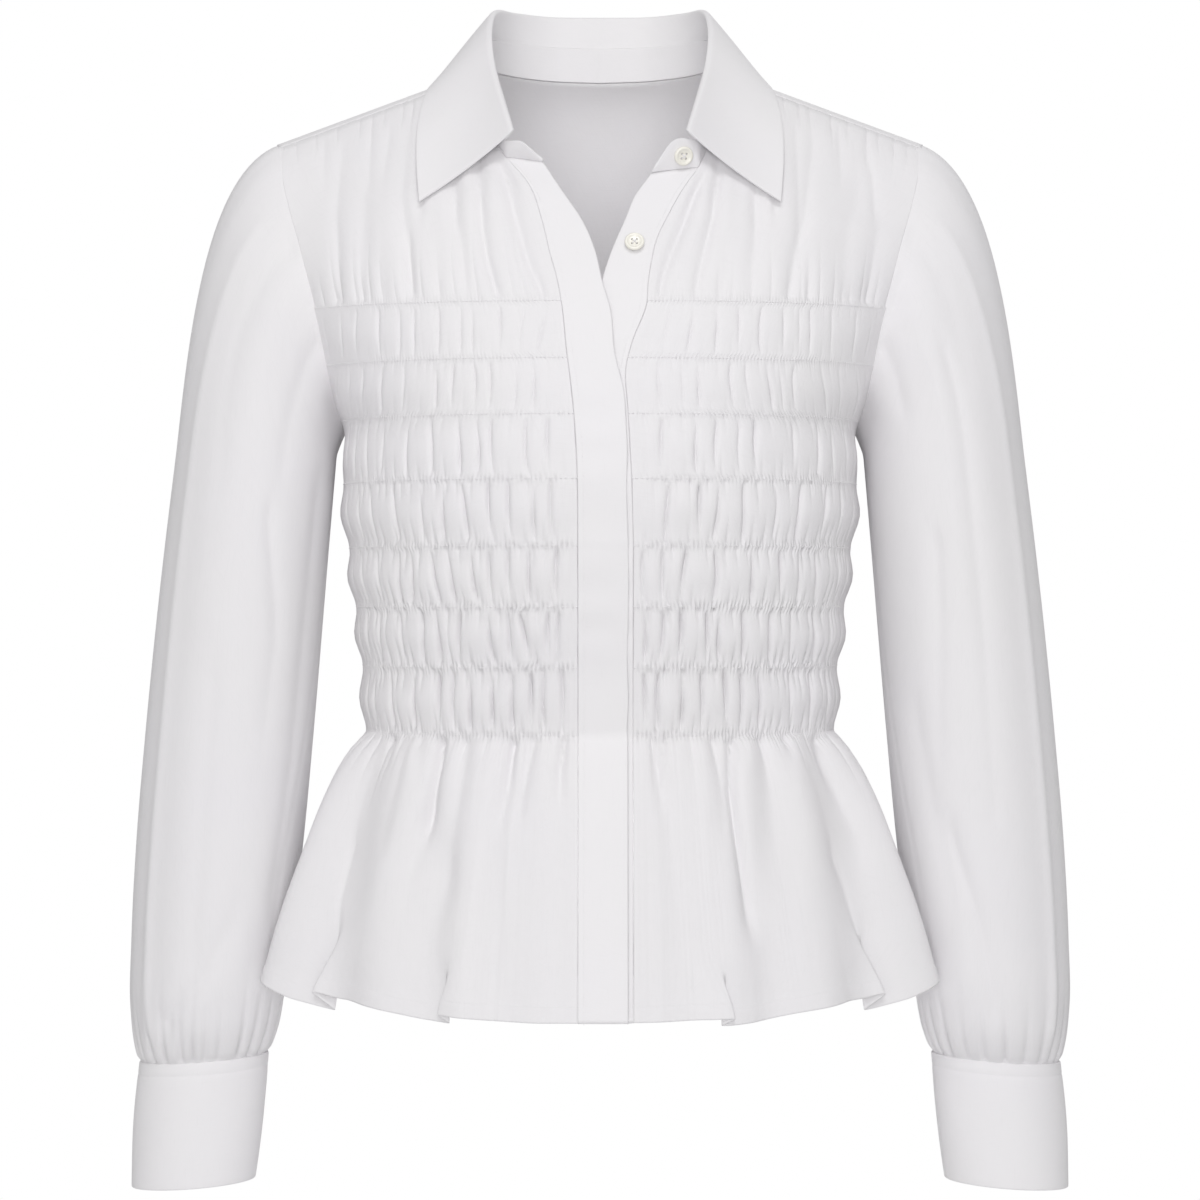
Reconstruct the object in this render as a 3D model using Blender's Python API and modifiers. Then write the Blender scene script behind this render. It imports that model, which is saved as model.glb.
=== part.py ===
"""Fitted shirt: a long-sleeved blouse with a pointed collar, a concealed button front,
eight elastic rows round the body and a short peplum, filled out with nobody in it.

Millimetres in every table, metres in the meshes. +Z is up, the wearer faces -Y and the
wearer's right is -X. The origin is the middle of the neck, level with the shoulder's
high point. Tables for one side hold X as a distance from the middle of the body.
"""
import math

import bmesh
import bpy
import numpy as np
from mathutils import Matrix, Vector

MM = 0.001
SIGN = {"right": -1.0, "left": 1.0}

# Walls and clearances
CLOTH_WALL = 1.2
BAND_WALL = 1.4
CUFF_WALL = 1.8
SEAM_GAP = 0.3
# Half of that gap, as a share of a panel's width or height
SEAM_SHARE = 0.001
# The yoke's front edge stays this far behind and above the fronts' top edges
SHOULDER_GAP = (0.0, 0.4, 0.3)

# The body's section: a squared ellipse whose side seam lies a little behind the middle
SQUARENESS = 2.2
SIDE_SEAM_Y = 4.0
UNDERARM_Z = -209.0
YOKE_SEAM_Z = -124.0

# Shirring
ELASTIC_ROWS = (-138.0, -171.0, -203.0, -240.0, -278.0, -313.0, -348.0, -387.0)
BAND_PUFF = 3.2
PLEATS = 7
PLEAT_RISE = 1.1

# height, half width, depth in front, depth behind
BODY = (
    (-100, 198, 97, 92),
    (-124, 190, 104, 92),
    (-138, 185, 108, 93),
    (-157, 176, 113, 93),
    (-178, 167, 117, 92),
    (-195, 159, 119, 91),
    (-203, 155, 120, 91),
    (-209, 153, 120.5, 90.5),
    (-240, 153.5, 122, 88),
    (-278, 150, 117, 84),
    (-313, 146, 110, 79),
    (-348, 142, 101, 74),
    (-387, 140, 92, 70),
)

# share of the drop below the last elastic row, half width, depth in front, depth behind
PEPLUM = (
    (0.00, 140, 92, 70),
    (0.05, 145, 96, 75),
    (0.12, 150, 100, 79),
    (0.25, 157, 106, 84),
    (0.50, 168, 114, 91),
    (0.75, 179, 121, 97),
    (1.00, 188, 128, 103),
)

# angle from the middle of the front, drop from the last elastic row to the hem
HEM_DROP = ((0, 161.6), (27, 160), (37, 158.5), (55, 152), (68, 145), (90, 149), (120, 156), (180, 159))

# angle from the middle of the front at the hem, how far the hem stands out there
FLUTES = {
    "right": (
        (0, 0), (8, 3), (15.7, -3), (22, 4), (28, -8), (40, 8), (56, -9), (69, 22), (82, 0),
        (92, -9), (103, 3), (114, -6), (127, 7), (140, -7), (152, 7), (166, -6), (180, 5),
    ),
    "left": (
        (0, 0), (6, 2), (13.5, -3), (21, 5), (29, -10), (41, 9), (54, -9), (69, 22), (82, 0),
        (92, -9), (102, 4), (116, -7), (129, 6), (141, -6), (155, 8), (168, -7), (180, 5),
    ),
}
FLUTE_DRIFT = 10.0

# The fly lies just proud of the right front, the band under it just behind the left
BAND_PROUD = {"right": 0.4, "left": -1.4}
BAND_CROWN = 0.3
BAND_TILT = -4.0

# height, seam to the front panel, free edge, depth at the seam, depth at the edge
FLY = (
    (-51, 55, 33, 65, 73),
    (-67, 42, 23, 78, 81),
    (-90, 33.5, 9.2, 88.5, 91),
    (-107, 29.5, 2.9, 96, 98),
    (-128, 24, -1.7, 105, 106),
    (-138, 22.2, -4.6, 108, 108.8),
    (-167, 19, -8.5, 115.5, 116),
    (-196, 15.5, -14.2, 119.5, 120),
    (-235, 13, -15.3, 122.5, 122.5),
    (-278, 12.6, -16, 117.5, 117.5),
)
UNDER_BAND = (
    (-57, 57.5, 30, 66, 72),
    (-71, 48, 20.5, 75, 79),
    (-87, 39.3, 14.4, 83, 86),
    (-101, 32.8, 8.8, 91, 92),
    (-115, 29.5, 4, 98, 98),
    (-130, 27.4, 0, 104, 103),
    (-138, 27, -2, 106.4, 105.4),
    (-163, 18, -7, 112.6, 111.8),
    (-175, 15, -8, 115.2, 114.4),
    (-203, 16, -8, 118.6, 118),
    (-240, 18, -8, 120.6, 120),
    (-278, 19, -8, 115.6, 115),
)

# height, front and back distance of the armhole from the middle of the body
ARMHOLE = (
    (-209, 153, 153),
    (-203, 154.5, 154.5),
    (-195, 157, 156.5),
    (-178, 160, 160),
    (-157, 163.5, 163.5),
    (-138, 167.5, 167.5),
    (-124, 170.5, 169.5),
)
# share of the way from the first elastic row to the shoulder seam, x, y, z
FRONT_ARMHOLE = (
    (0.00, 167.5, -49.5, -138),
    (0.20, 171.5, -50.5, -120),
    (0.40, 176.5, -46, -101),
    (0.68, 184.3, -35.5, -75),
    (0.82, 188.2, -28, -60),
    (0.92, 190.6, -21, -49),
    (1.00, 192, -12, -39.5),
)
# share of the way from the shoulder's ridge to the yoke seam, x, y, z
BACK_ARMHOLE = (
    (0.00, 193.8, 2, -36.2),
    (0.20, 191.5, 19, -44),
    (0.45, 186, 34, -64),
    (0.72, 178, 44.5, -92),
    (1.00, 169.5, 48.4, -124),
)
# How strongly a panel's columns keep their direction as they leave and as they arrive,
# as shares of their length, and the way the chest reaches the shoulder seam
CHEST_PULL = (1.0, 0.95)
CHEST_RISES = (0.0, -0.05, 1.0)
CHEST_ARRIVES = (0.1, 0.85, 0.42)
YOKE_PULL = (0.95, 0.8)
YOKE_ARRIVES = (0.0, 0.05, -1.0)
# Relief fades over the outer part of a panel beside an armhole, and comes back below it
ARMHOLE_FADE = 0.18
UNDERARM_FADE = 40.0

# share along the front panel at the first elastic row, share along the shoulder seam
SHOULDER_FAN = ((0, 0), (0.2, 0.07), (0.4, 0.24), (0.6, 0.48), (0.8, 0.74), (1, 1))
# share of the way up the front panel's middle edge, at which its band ends and the neck begins
NECK_CORNER = 0.53

# The neck seam, from the middle of the back to the shoulder's ridge, then by way of the
# shoulder seam to the band
NECK_BACK = ((0, 66, 10), (30, 61.5, 10.5), (52, 46, 11), (65.5, 24, 11.2), (70, 2, 9.6))
NECK_FRONT = {
    "right": ((70.5, -13, 5), (71, -32, -12), (66, -50, -33), (55, -65, -51)),
    "left": ((70.5, -13, 5), (71, -32, -12), (67, -50, -35), (57.5, -66, -57)),
}
STAND_END = {"right": (33, -73, -55), "left": (30, -73, -61)}

# The shoulder: its ridge runs out from the neck to the sleeve, its seam lies in front
RIDGE_POINT = (193.8, 2, -36.2)
SEAM_POINT = (192, -12, -39.5)

# share along the yoke's ridge and neck edge, then the way the yoke falls from it
YOKE_LEAVES = (
    (0.00, 0, 0.80, -0.60),
    (0.20, 0.20, 0.84, -0.50),
    (0.35, 0.34, 0.88, -0.34),
    (0.45, 0.28, 0.94, -0.18),
    (0.60, 0.10, 0.98, -0.10),
    (1.00, 0.00, 0.98, -0.10),
)

# share from the middle of the back to the front end, then the stand's top edge x, y, z
STAND_TOP = (
    (0.00, 0, 69.5, 31.5),
    (0.14, 30, 65.5, 32),
    (0.27, 52, 49.5, 32),
    (0.39, 64.5, 26, 30.5),
    (0.50, 67.5, 5, 26),
    (0.58, 67.5, -11, 16),
    (0.68, 66, -30, -2),
    (0.78, 62, -49, -23),
    (0.89, 55, -70, -42),
)
# the same past the leaf, where the stand's rounded ends differ
TAB_TOP = {
    "right": ((0.93, 46, -75, -43.5), (0.965, 40.5, -76, -48), (1.00, 33.5, -74, -52.5)),
    "left": ((0.93, 46.5, -75, -41.5), (0.965, 40, -76.5, -45.5), (1.00, 31.5, -74, -57.5)),
}
# the same share, then the fold that the leaf turns over
LEAF_FOLD = (
    (0.00, 0, 74, 50.5),
    (0.14, 30, 71, 50.5),
    (0.27, 51, 54, 50),
    (0.39, 61.5, 30, 47.5),
    (0.50, 64.5, 8, 36.5),
    (0.58, 64.5, -8, 24.5),
    (0.68, 62, -28, 5.5),
    (0.78, 56.5, -50, -17),
    (0.89, 50.5, -73, -38),
)
# the same share, then the leaf's outer edge down to its point
LEAF_EDGE = (
    (0.00, 0, 93, 3),
    (0.14, 42, 87, 2),
    (0.27, 78, 64, 1),
    (0.39, 97, 32, 1.5),
    (0.50, 101, 4, 1.5),
    (0.58, 104, -20, -6.5),
    (0.68, 107.5, -48, -27),
    (0.78, 107.5, -68, -50),
    (0.89, 105, -84, -80),
)
LEAF_SHARE = 0.89
LEAF_FOLD_RADIUS = 2.4
LEAF_BOW = 2.0

# height, outer side, inner side, middle depth, half depth, tilt of the section
ARM = (
    (-225, 254.5, 158.5, 2, 60, 0),
    (-284, 261.6, 163.4, 1, 59, -0.005),
    (-390, 272.4, 172, -1, 55, -0.02),
    (-450, 277.5, 177.5, -1, 53, -0.03),
    (-510, 280.6, 184.5, -1, 51, -0.045),
    (-548, 281, 189.5, -2, 48, -0.06),
    (-566, 279, 193, -2, 43, -0.07),
    (-581.6, 275.6, 198.8, -2, 34, -0.07),
)
# share round the sleeve from its outer side by way of the front, way it leaves the armhole
SLEEVE_LEAVES = (
    (0.00, 0.93, 0.00, -0.37),
    (0.25, 0.80, -0.25, -0.55),
    (0.50, 0.30, 0.00, -0.95),
    (0.75, 0.80, 0.25, -0.55),
    (1.00, 0.93, 0.00, -0.37),
)
SLEEVE_LEAVES_PULL = 0.78
UNDERARM_CLEAR = 0.9

# The cuff's two rims: x, y, z of the middle, half width, half depth
CUFF_TOP = (237.2, -2, -582.2, 38.6, 33.5)
CUFF_HEM = (243.6, -2, -657.6, 37.0, 31.5)
CUFF_TILT = -0.07

# Buttons
BUTTON_RADIUS = 5.7
BUTTON_THICKNESS = 2.6
BUTTON_RIM = 1.1
BUTTON_DISH = 0.6
BUTTON_ROUND = 0.7
BUTTON_HOLE_RADIUS = 0.7
BUTTON_HOLE_OFFSET = 1.5
BUTTON_STANDS_OFF = 0.9
CHEST_BUTTON_Z = -103.5

# Resolution of the faceted cloth
FRONT_COLUMNS = 11
BACK_COLUMNS = 18
CHEST_BAND_STEPS = 5
NECK_SHARES = (0.0, 0.27, 0.53, 0.78, 0.94, 1.0)
BUTTON_SIDES, HOLE_SIDES = 18, 6
PEPLUM_SHARES = (0.0, 0.12, 0.32, 0.56, 0.78, 1.0)
TAB_SHARES = (0.0, 0.74, 1.0)
YOKE_NECK_COLUMNS, YOKE_RIDGE_COLUMNS, YOKE_STEPS = 5, 5, 5
CUFF_COLUMNS = 16
CAP_SHARES = (0.0, 0.05, 0.2, 0.4, 0.65)
LEAF_ROWS = (0.0, 0.2, 0.3, 0.4, 0.7, 1.0)

COLOURS = {
    "cloth": ((0.88, 0.875, 0.89, 1.0), 0.85),
    "button": ((0.86, 0.83, 0.74, 1.0), 0.32),
}


# ---------------------------------------------------------------- curves and tables
def read(table, at):
    """Read a table smoothly: its first column is the key, the others are returned."""
    rows = np.array(sorted(table), float)
    keys, values = rows[:, 0], rows[:, 1:]
    at = np.clip(np.asarray(at, float), keys[0], keys[-1])
    slopes = np.gradient(values, keys, axis=0)
    low = np.clip(np.searchsorted(keys, at) - 1, 0, len(keys) - 2)
    span = (keys[low + 1] - keys[low])[..., None]
    t = (at - keys[low])[..., None] / span
    return hermite(values[low], slopes[low] * span, values[low + 1], slopes[low + 1] * span, t)


def hermite(start, leave, end, arrive, t):
    """A cubic between two points with a given direction at each."""
    return (
        start * (2 * t**3 - 3 * t**2 + 1)
        + leave * (t**3 - 2 * t**2 + t)
        + end * (3 * t**2 - 2 * t**3)
        + arrive * (t**3 - t**2)
    )


def along(points, share):
    """A point at a share of the length of a smooth path through the points."""
    points = np.array(points, float)
    steps = np.linalg.norm(np.diff(points, axis=0), axis=1)
    keys = np.concatenate([[0], np.cumsum(steps)]) / steps.sum()
    return read(np.column_stack([keys, points]).tolist(), share)


def unit(vectors):
    return vectors / np.linalg.norm(vectors, axis=-1, keepdims=True)


def ease(x):
    """0 below 0, 1 above 1 and a smooth step between."""
    x = np.clip(x, 0, 1)
    return x * x * (3 - 2 * x)


def length(points):
    return float(np.linalg.norm(np.diff(np.array(points, float), axis=0), axis=1).sum())


# ---------------------------------------------------------------- the body
def section(angle, half_width, front, back, out):
    """X and Y round a horizontal section; angle 0 is the middle of the front."""
    s, c = np.sin(angle), np.cos(angle)
    power = 2 / SQUARENESS
    depth = np.where(c >= 0, front + SIDE_SEAM_Y, back - SIDE_SEAM_Y)
    x = half_width * np.abs(s) ** power + out * s
    y = SIDE_SEAM_Y - np.sign(c) * depth * np.abs(c) ** power - out * c
    return x, y


def angle_at(x, half_width):
    return np.arcsin(np.clip(x / half_width, 0, 1) ** (SQUARENESS / 2))


def puff(height):
    """How far the cloth stands out between two elastic rows."""
    rows = np.array(ELASTIC_ROWS[::-1])
    low = np.clip(np.searchsorted(rows, height) - 1, 0, len(rows) - 2)
    share = np.clip((height - rows[low]) / (rows[low + 1] - rows[low]), 0, 1)
    return BAND_PUFF * np.sin(math.pi * share) ** 0.8


def flute(side, angle, share):
    """How far the peplum stands out at an angle, at a share of its drop."""
    degrees = np.degrees(angle)
    drift = FLUTE_DRIFT * (1 - share) * np.sin(2 * np.clip(angle, 0, math.pi / 2))
    return read(FLUTES[side], degrees - drift)[..., 0] * np.sqrt(share)


def body_point(side, angle, height, relief):
    """A point of the shell below the yoke; relief fades its puffs and flutes."""
    last = ELASTIC_ROWS[-1]
    share = np.clip((last - height) / HEM_DROP[0][1], 0, 1)
    size = np.where((share > 0)[..., None], read(PEPLUM, share), read(BODY, height))
    out = np.where(share > 0, flute(side, angle, share), puff(height)) * relief
    x, y = section(angle, size[..., 0], size[..., 1], size[..., 2], out)
    drop = read(HEM_DROP, np.degrees(angle))[..., 0] * share
    z = np.where(share > 0, last - drop, height)
    return np.stack([x, y, z], -1)


def side_relief(u, height):
    """Relief is full on a side seam, and fades to nothing beside an armhole."""
    below = ease((UNDERARM_Z - height) / UNDERARM_FADE)
    return 1 - (1 - below) * ease((u - 1) / ARMHOLE_FADE + 1)


def band_table(side):
    return FLY if side == "right" else UNDER_BAND


def front_ring(side, u, height):
    """The front panel from its first elastic row down; u runs from band to side."""
    u, height = np.broadcast_arrays(u, height)
    half_width = body_half_width(height)
    start = angle_at(read(band_table(side), height)[..., 0], half_width)
    edge = read(ARMHOLE, height)[..., 0]
    end = np.where(height > UNDERARM_Z, angle_at(edge, half_width), math.pi / 2)
    angle = start + (end - start) * u
    relief = ease(u / 0.1) * side_relief(u, height)
    points = body_point(side, angle, height, relief)
    points[..., 1] += under_lap(side, points[..., 0])
    return points


def back_ring(side, u, height):
    """The back from the yoke seam down; u runs from the middle to the side."""
    u, height = np.broadcast_arrays(u, height)
    half_width = body_half_width(height)
    edge = read(ARMHOLE, height)[..., 1]
    end = np.where(height > UNDERARM_Z, math.pi - angle_at(edge, half_width), math.pi / 2)
    angle = math.pi + (end - math.pi) * u
    return body_point(side, angle, height, side_relief(u, height))


def body_half_width(height):
    last = ELASTIC_ROWS[-1]
    share = np.clip((last - height) / HEM_DROP[0][1], 0, 1)
    return np.where(share > 0, read(PEPLUM, share)[..., 0], read(BODY, height)[..., 0])


def under_lap(side, x):
    """The wearer's left front lies a little behind the right one near the middle."""
    if side == "right":
        return 0.0
    return 1.4 * (1 - ease((x - 19) / 40))


def chest(side, u, v):
    """The front panel above its first elastic row; v runs up to the shoulder seam."""
    u, v = np.broadcast_arrays(u, v)
    low = front_ring(side, u, np.full_like(u, ELASTIC_ROWS[0]))
    high = along((NECK_FRONT[side][0], SEAM_POINT), read(SHOULDER_FAN, u)[..., 0])
    reach = np.linalg.norm(high - low, axis=-1, keepdims=True)
    rise = unit(np.array(CHEST_RISES)) * reach * CHEST_PULL[0]
    arrive = unit(np.array(CHEST_ARRIVES)) * reach * CHEST_PULL[1]
    points = hermite(low, rise, high, arrive, v[..., None])
    inner, outer = points[:, :1], points[:, -1:]
    neckline = middle_edge(side, v[:, :1]) - inner
    armhole = read(FRONT_ARMHOLE, v[:, -1:]) - outer
    return points + (1 - u)[..., None] * neckline + u[..., None] * armhole


def middle_edge(side, v):
    """The front panel's edge toward the middle: the band's seam, then the neck."""
    table = band_table(side)
    top = max(row[0] for row in table)
    height = ELASTIC_ROWS[0] + np.clip(v / NECK_CORNER, 0, 1) * (top - ELASTIC_ROWS[0])
    row = read(table, height)
    seam = np.stack([row[..., 0], -row[..., 2], height], -1)
    neck = along(NECK_FRONT[side][::-1], np.clip((v - NECK_CORNER) / (1 - NECK_CORNER), 0, 1))
    return np.where((v <= NECK_CORNER)[..., None], seam, neck)


def chest_shares():
    """Rows of the chest from its first elastic row up, with one at the neck's corner."""
    beside_band = share_steps(CHEST_BAND_STEPS, high=NECK_CORNER)
    beside_neck = NECK_CORNER + (1 - NECK_CORNER) * np.array(NECK_SHARES)
    return np.concatenate([beside_band, beside_neck[1:]])


def yoke_neck_share():
    """The share of half the yoke's upper edge that lies on the neck."""
    ridge = (NECK_BACK[-1], RIDGE_POINT)
    return length(NECK_BACK) / (length(NECK_BACK) + length(ridge))


def yoke(u, v):
    """One half of the yoke behind the shoulder's ridge: u from the middle of the back."""
    u, v = np.broadcast_arrays(u, v)
    corner = yoke_neck_share()
    on_neck = along(NECK_BACK, np.clip(u / corner, 0, 1))
    on_ridge = along((NECK_BACK[-1], RIDGE_POINT), np.clip((u - corner) / (1 - corner), 0, 1))
    high = np.where((u < corner)[..., None], on_neck, on_ridge)
    low = back_ring("right", u, np.full_like(u, YOKE_SEAM_Z))
    reach = np.linalg.norm(high - low, axis=-1, keepdims=True)
    leave = unit(read(YOKE_LEAVES, u)) * reach * YOKE_PULL[0]
    arrive = unit(np.array(YOKE_ARRIVES)) * reach * YOKE_PULL[1]
    t = v[..., None]
    points = hermite(high, leave, low, arrive, t)
    last_column = hermite(high[:, -1:], leave[:, -1:], low[:, -1:], arrive[:, -1:], t[:, -1:])
    return points + u[..., None] ** 3 * (read(BACK_ARMHOLE, v[:, -1:]) - last_column)


def shoulder_seam(u):
    """The yoke's front edge; a column that starts on the neck has no point here."""
    corner = yoke_neck_share()
    share = (u - corner) / (1 - corner)
    points = along((NECK_FRONT["right"][0], SEAM_POINT), np.clip(share, 0, 1))
    return np.where((share > -1e-6)[..., None], points, np.nan)


# ---------------------------------------------------------------- the sleeves
def armhole_sides(side):
    """The armhole's edge down the front and up the back, at the panels' own rows."""
    edge = np.ones((1, 1))
    heights = body_heights(ELASTIC_ROWS[0])
    heights = heights[heights[:, 0] >= UNDERARM_Z]
    ridge = np.array([RIDGE_POINT], float)
    down = np.concatenate([
        ridge,
        read(FRONT_ARMHOLE, chest_shares()[::-1]),
        front_ring(side, edge, heights)[1:, 0],
    ])
    up = np.concatenate([
        back_ring(side, edge, heights)[::-1, 0],
        read(BACK_ARMHOLE, share_steps(YOKE_STEPS)[::-1]),
    ])
    return down, up


def length_shares(points):
    steps = np.linalg.norm(np.diff(points, axis=0), axis=1)
    return np.concatenate([[0], np.cumsum(steps)]) / steps.sum()


def sleeve_shares(side):
    """Where round the sleeve the panels' rows meet it: half is front, half is back."""
    down, up = armhole_sides(side)
    return np.concatenate([length_shares(down)[:-1] / 2, 0.5 + length_shares(up)[:-1] / 2])


def armhole_loop(side, share):
    """Round the armhole: from the shoulder's ridge down the front and up the back."""
    down, up = armhole_sides(side)
    ahead = along(down, np.clip(share * 2, 0, 1))
    behind = along(up, np.clip(share * 2 - 1, 0, 1))
    return np.where((share < 0.5)[..., None], ahead, behind)


def arm_ring(share, height):
    """Round the arm at a height; share 0 is the outer side, 0.25 the front."""
    outer, inner, middle, half_depth, tilt = np.moveaxis(read(ARM, height), -1, 0)
    turn = 2 * math.pi * share
    x = (outer + inner) / 2 + (outer - inner) / 2 * np.cos(turn)
    y = middle - half_depth * np.sin(turn)
    z = height + tilt * (x - (outer + inner) / 2)
    return np.stack([x, y, z], -1)


def sleeve_cap(side, share, v):
    """From the armhole down to the first whole ring of the arm."""
    share, v = np.broadcast_arrays(share, v)
    leave = unit(read(SLEEVE_LEAVES, share))
    start = armhole_loop(side, share) + leave * SEAM_GAP * 1.5
    start[..., 0] += UNDERARM_CLEAR * np.exp(-(((share - 0.5) / 0.12) ** 2))
    top = ARM[0][0]
    end = arm_ring(share, np.full_like(share, top))
    below = arm_ring(share, np.full_like(share, top - 12))
    reach = np.linalg.norm(end - start, axis=-1, keepdims=True)
    arrive = unit(below - end) * reach * SLEEVE_LEAVES_PULL
    return hermite(start, leave * reach * SLEEVE_LEAVES_PULL, end, arrive, v[..., None])


# ---------------------------------------------------------------- the collar
def neck_line(side):
    """The neck seam through the panels' own corners, from the middle of the back."""
    behind = along(NECK_BACK, share_steps(YOKE_NECK_COLUMNS))
    ahead = along(NECK_FRONT[side], 1 - np.array(NECK_SHARES[::-1]))
    tab = along((NECK_FRONT[side][-1], STAND_END[side]), np.array(TAB_SHARES))
    return np.concatenate([behind, ahead, tab[1:]])


def stand_top(side, share):
    return read(STAND_TOP + TAB_TOP[side], share)


def leaf(share, v):
    """One half of the leaf: up from the stand, over the fold and down to its edge."""
    share, v = np.broadcast_arrays(share, v)
    fold = read(LEAF_FOLD, share)
    foot = leaf_foot(share, fold)
    edge = read(LEAF_EDGE, share)
    up = unit(fold - foot)
    down = unit(edge - fold)
    across = unit(down - np.sum(down * up, -1, keepdims=True) * up)
    centre = fold + LEAF_FOLD_RADIUS * across
    turn = np.arccos(np.clip(np.sum(up * down, -1, keepdims=True), -1, 1))

    def on_arc(angle):
        return centre + LEAF_FOLD_RADIUS * (np.sin(angle) * up - np.cos(angle) * across)

    t = v[..., None]
    rise = foot + (fold - foot) * np.clip(t / 0.2, 0, 1)
    arc = on_arc(turn * np.clip((t - 0.2) / 0.2, 0, 1))
    fall_share = np.clip((t - 0.4) / 0.6, 0, 1)
    away = np.sin(turn) * up - np.cos(turn) * across
    bow = away * LEAF_BOW * 4 * fall_share * (1 - fall_share)
    fall = on_arc(turn) + (edge - on_arc(turn)) * fall_share + bow
    return np.where(t < 0.2, rise, np.where(t < 0.4, arc, fall))


def leaf_foot(share, fold):
    """The leaf's sewn edge: over the stand's inner face and clear of its top."""
    top = read(STAND_TOP, share)
    inward = -unit(top * np.array([1.0, 1.0, 0.0]))
    foot = top + inward * BAND_WALL
    up = unit(fold - foot)
    lean = np.clip(-np.sum(up * inward, -1, keepdims=True), 0, 1)
    return foot + up * (3 * SEAM_GAP + BAND_WALL * lean)


# ---------------------------------------------------------------- making solids
def material(name):
    made = bpy.data.materials.get(name)
    if made is None:
        colour, roughness = COLOURS[name]
        made = bpy.data.materials.new(name)
        made.use_nodes = True
        shader = made.node_tree.nodes["Principled BSDF"]
        shader.inputs["Base Color"].default_value = colour
        shader.inputs["Roughness"].default_value = roughness
        shader.inputs["Metallic"].default_value = 0.0
    return made


def add(name, mesh, surface):
    mesh.materials.append(material(surface))
    thing = bpy.data.objects.new(name, mesh)
    SHIRT.objects.link(thing)
    thing.parent = WEARER
    return thing


def shell(name, rows, wall, closed=False, flip=False):
    """A sheet through rows of points, with its wall on the inner side."""
    rows = np.asarray(rows, float) * MM
    sheet = bmesh.new()
    verts = [[None if np.isnan(point).any() else sheet.verts.new(point) for point in row] for row in rows]
    across = len(rows[0]) if closed else len(rows[0]) - 1
    for upper, lower in zip(verts, verts[1:]):
        for i in range(across):
            j = (i + 1) % len(upper)
            corners = [upper[i], lower[i], lower[j], upper[j]]
            if None not in corners:
                sheet.faces.new(corners[::-1] if flip else corners)
    mesh = bpy.data.meshes.new(name)
    sheet.to_mesh(mesh)
    sheet.free()
    mesh.shade_smooth()
    thing = add(name, mesh, "cloth")
    solid = thing.modifiers.new("wall", "SOLIDIFY")
    solid.thickness = wall * MM
    solid.offset = -1.0
    solid.use_even_offset = True
    return thing


def mirrored(points, side):
    """Turn distances from the middle into X on one side of the body."""
    points = np.array(points, float)
    points[..., 0] *= SIGN[side]
    return points


def share_steps(count, margin=0.0, low=0.0, high=1.0):
    return np.linspace(low + margin, high - margin, count + 1)


def body_heights(top):
    """Every elastic row, the crowns between them, and steps down the peplum."""
    heights = [top] if top > ELASTIC_ROWS[0] else []
    for upper, lower in zip(ELASTIC_ROWS, ELASTIC_ROWS[1:]):
        heights += [upper, (upper + lower) / 2]
    heights += [ELASTIC_ROWS[-1] - HEM_DROP[0][1] * share for share in PEPLUM_SHARES]
    heights.append(UNDERARM_Z)
    return np.array(sorted(heights, reverse=True))[:, None]


def front(side):
    u = share_steps(FRONT_COLUMNS, margin=SEAM_SHARE)[None, :]
    v = chest_shares()[:0:-1, None].copy()
    v[0] -= SEAM_SHARE
    upper = chest(side, u, v)
    lower = front_ring(side, u, body_heights(ELASTIC_ROWS[0]))
    rows = np.concatenate([upper, lower])
    pleat = PLEAT_RISE * np.cos(2 * math.pi * PLEATS * u[0]) * np.sin(math.pi * u[0]) ** 0.5
    below = np.clip((ELASTIC_ROWS[-1] - rows[..., 2]) / 40, 0, 1)
    flat_rows = np.isin(np.round(rows[:, :1, 2], 3), ELASTIC_ROWS)
    flat_rows[0] = True
    rows[..., 1] -= pleat * (1 - below) * np.where(flat_rows, 0.0, 1.0)
    return shell(f"front_{side}", mirrored(rows, side), CLOTH_WALL, flip=side == "right")


def both_halves(half):
    """Join a half that starts in the middle to its mirror image, right side first."""
    right = mirrored(half["right"], "right")[:, ::-1]
    left = mirrored(half["left"], "left")[:, 1:]
    return np.concatenate([right, left], axis=1)


def back():
    u = share_steps(BACK_COLUMNS // 2, high=1 - SEAM_SHARE)[None, :]
    heights = body_heights(YOKE_SEAM_Z - SEAM_GAP / 2)
    half = {side: back_ring(side, u, heights) for side in SIGN}
    return shell("back", both_halves(half), CLOTH_WALL, flip=True)


def yoke_piece():
    corner = yoke_neck_share()
    neck_columns = np.linspace(0, corner, YOKE_NECK_COLUMNS + 1)
    ridge_columns = np.linspace(corner, 1 - SEAM_SHARE, YOKE_RIDGE_COLUMNS + 1)
    u = np.concatenate([neck_columns, ridge_columns[1:]])[None, :]
    v = share_steps(YOKE_STEPS, high=1 - SEAM_SHARE)[:, None]
    seam = shoulder_seam(u) + np.array(SHOULDER_GAP)
    half = {side: np.concatenate([seam, yoke(u, v)]) for side in SIGN}
    return shell("yoke", both_halves(half), CLOTH_WALL, flip=True)


def sleeve(side):
    share = sleeve_shares(side)[None, :]
    cap = sleeve_cap(side, share, np.array(CAP_SHARES)[:, None])
    heights = np.array([row[0] for row in ARM[:-1]] + [ARM[-1][0] + SEAM_GAP])
    arm = arm_ring(share, heights[:, None])
    rows = np.concatenate([cap, arm])
    return shell(f"sleeve_{side}", mirrored(rows, side), CLOTH_WALL, closed=True, flip=side == "left")


def cuff(side):
    turn = 2 * math.pi * share_steps(CUFF_COLUMNS)[:-1]
    rows = []
    for x, y, z, half_width, half_depth in (CUFF_TOP, CUFF_HEM):
        across = half_width * np.cos(turn)
        rows.append(np.stack([x + across, y - half_depth * np.sin(turn), z + CUFF_TILT * across], -1))
    return shell(f"cuff_{side}", mirrored(rows, side), CUFF_WALL, closed=True, flip=side == "left")


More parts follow.
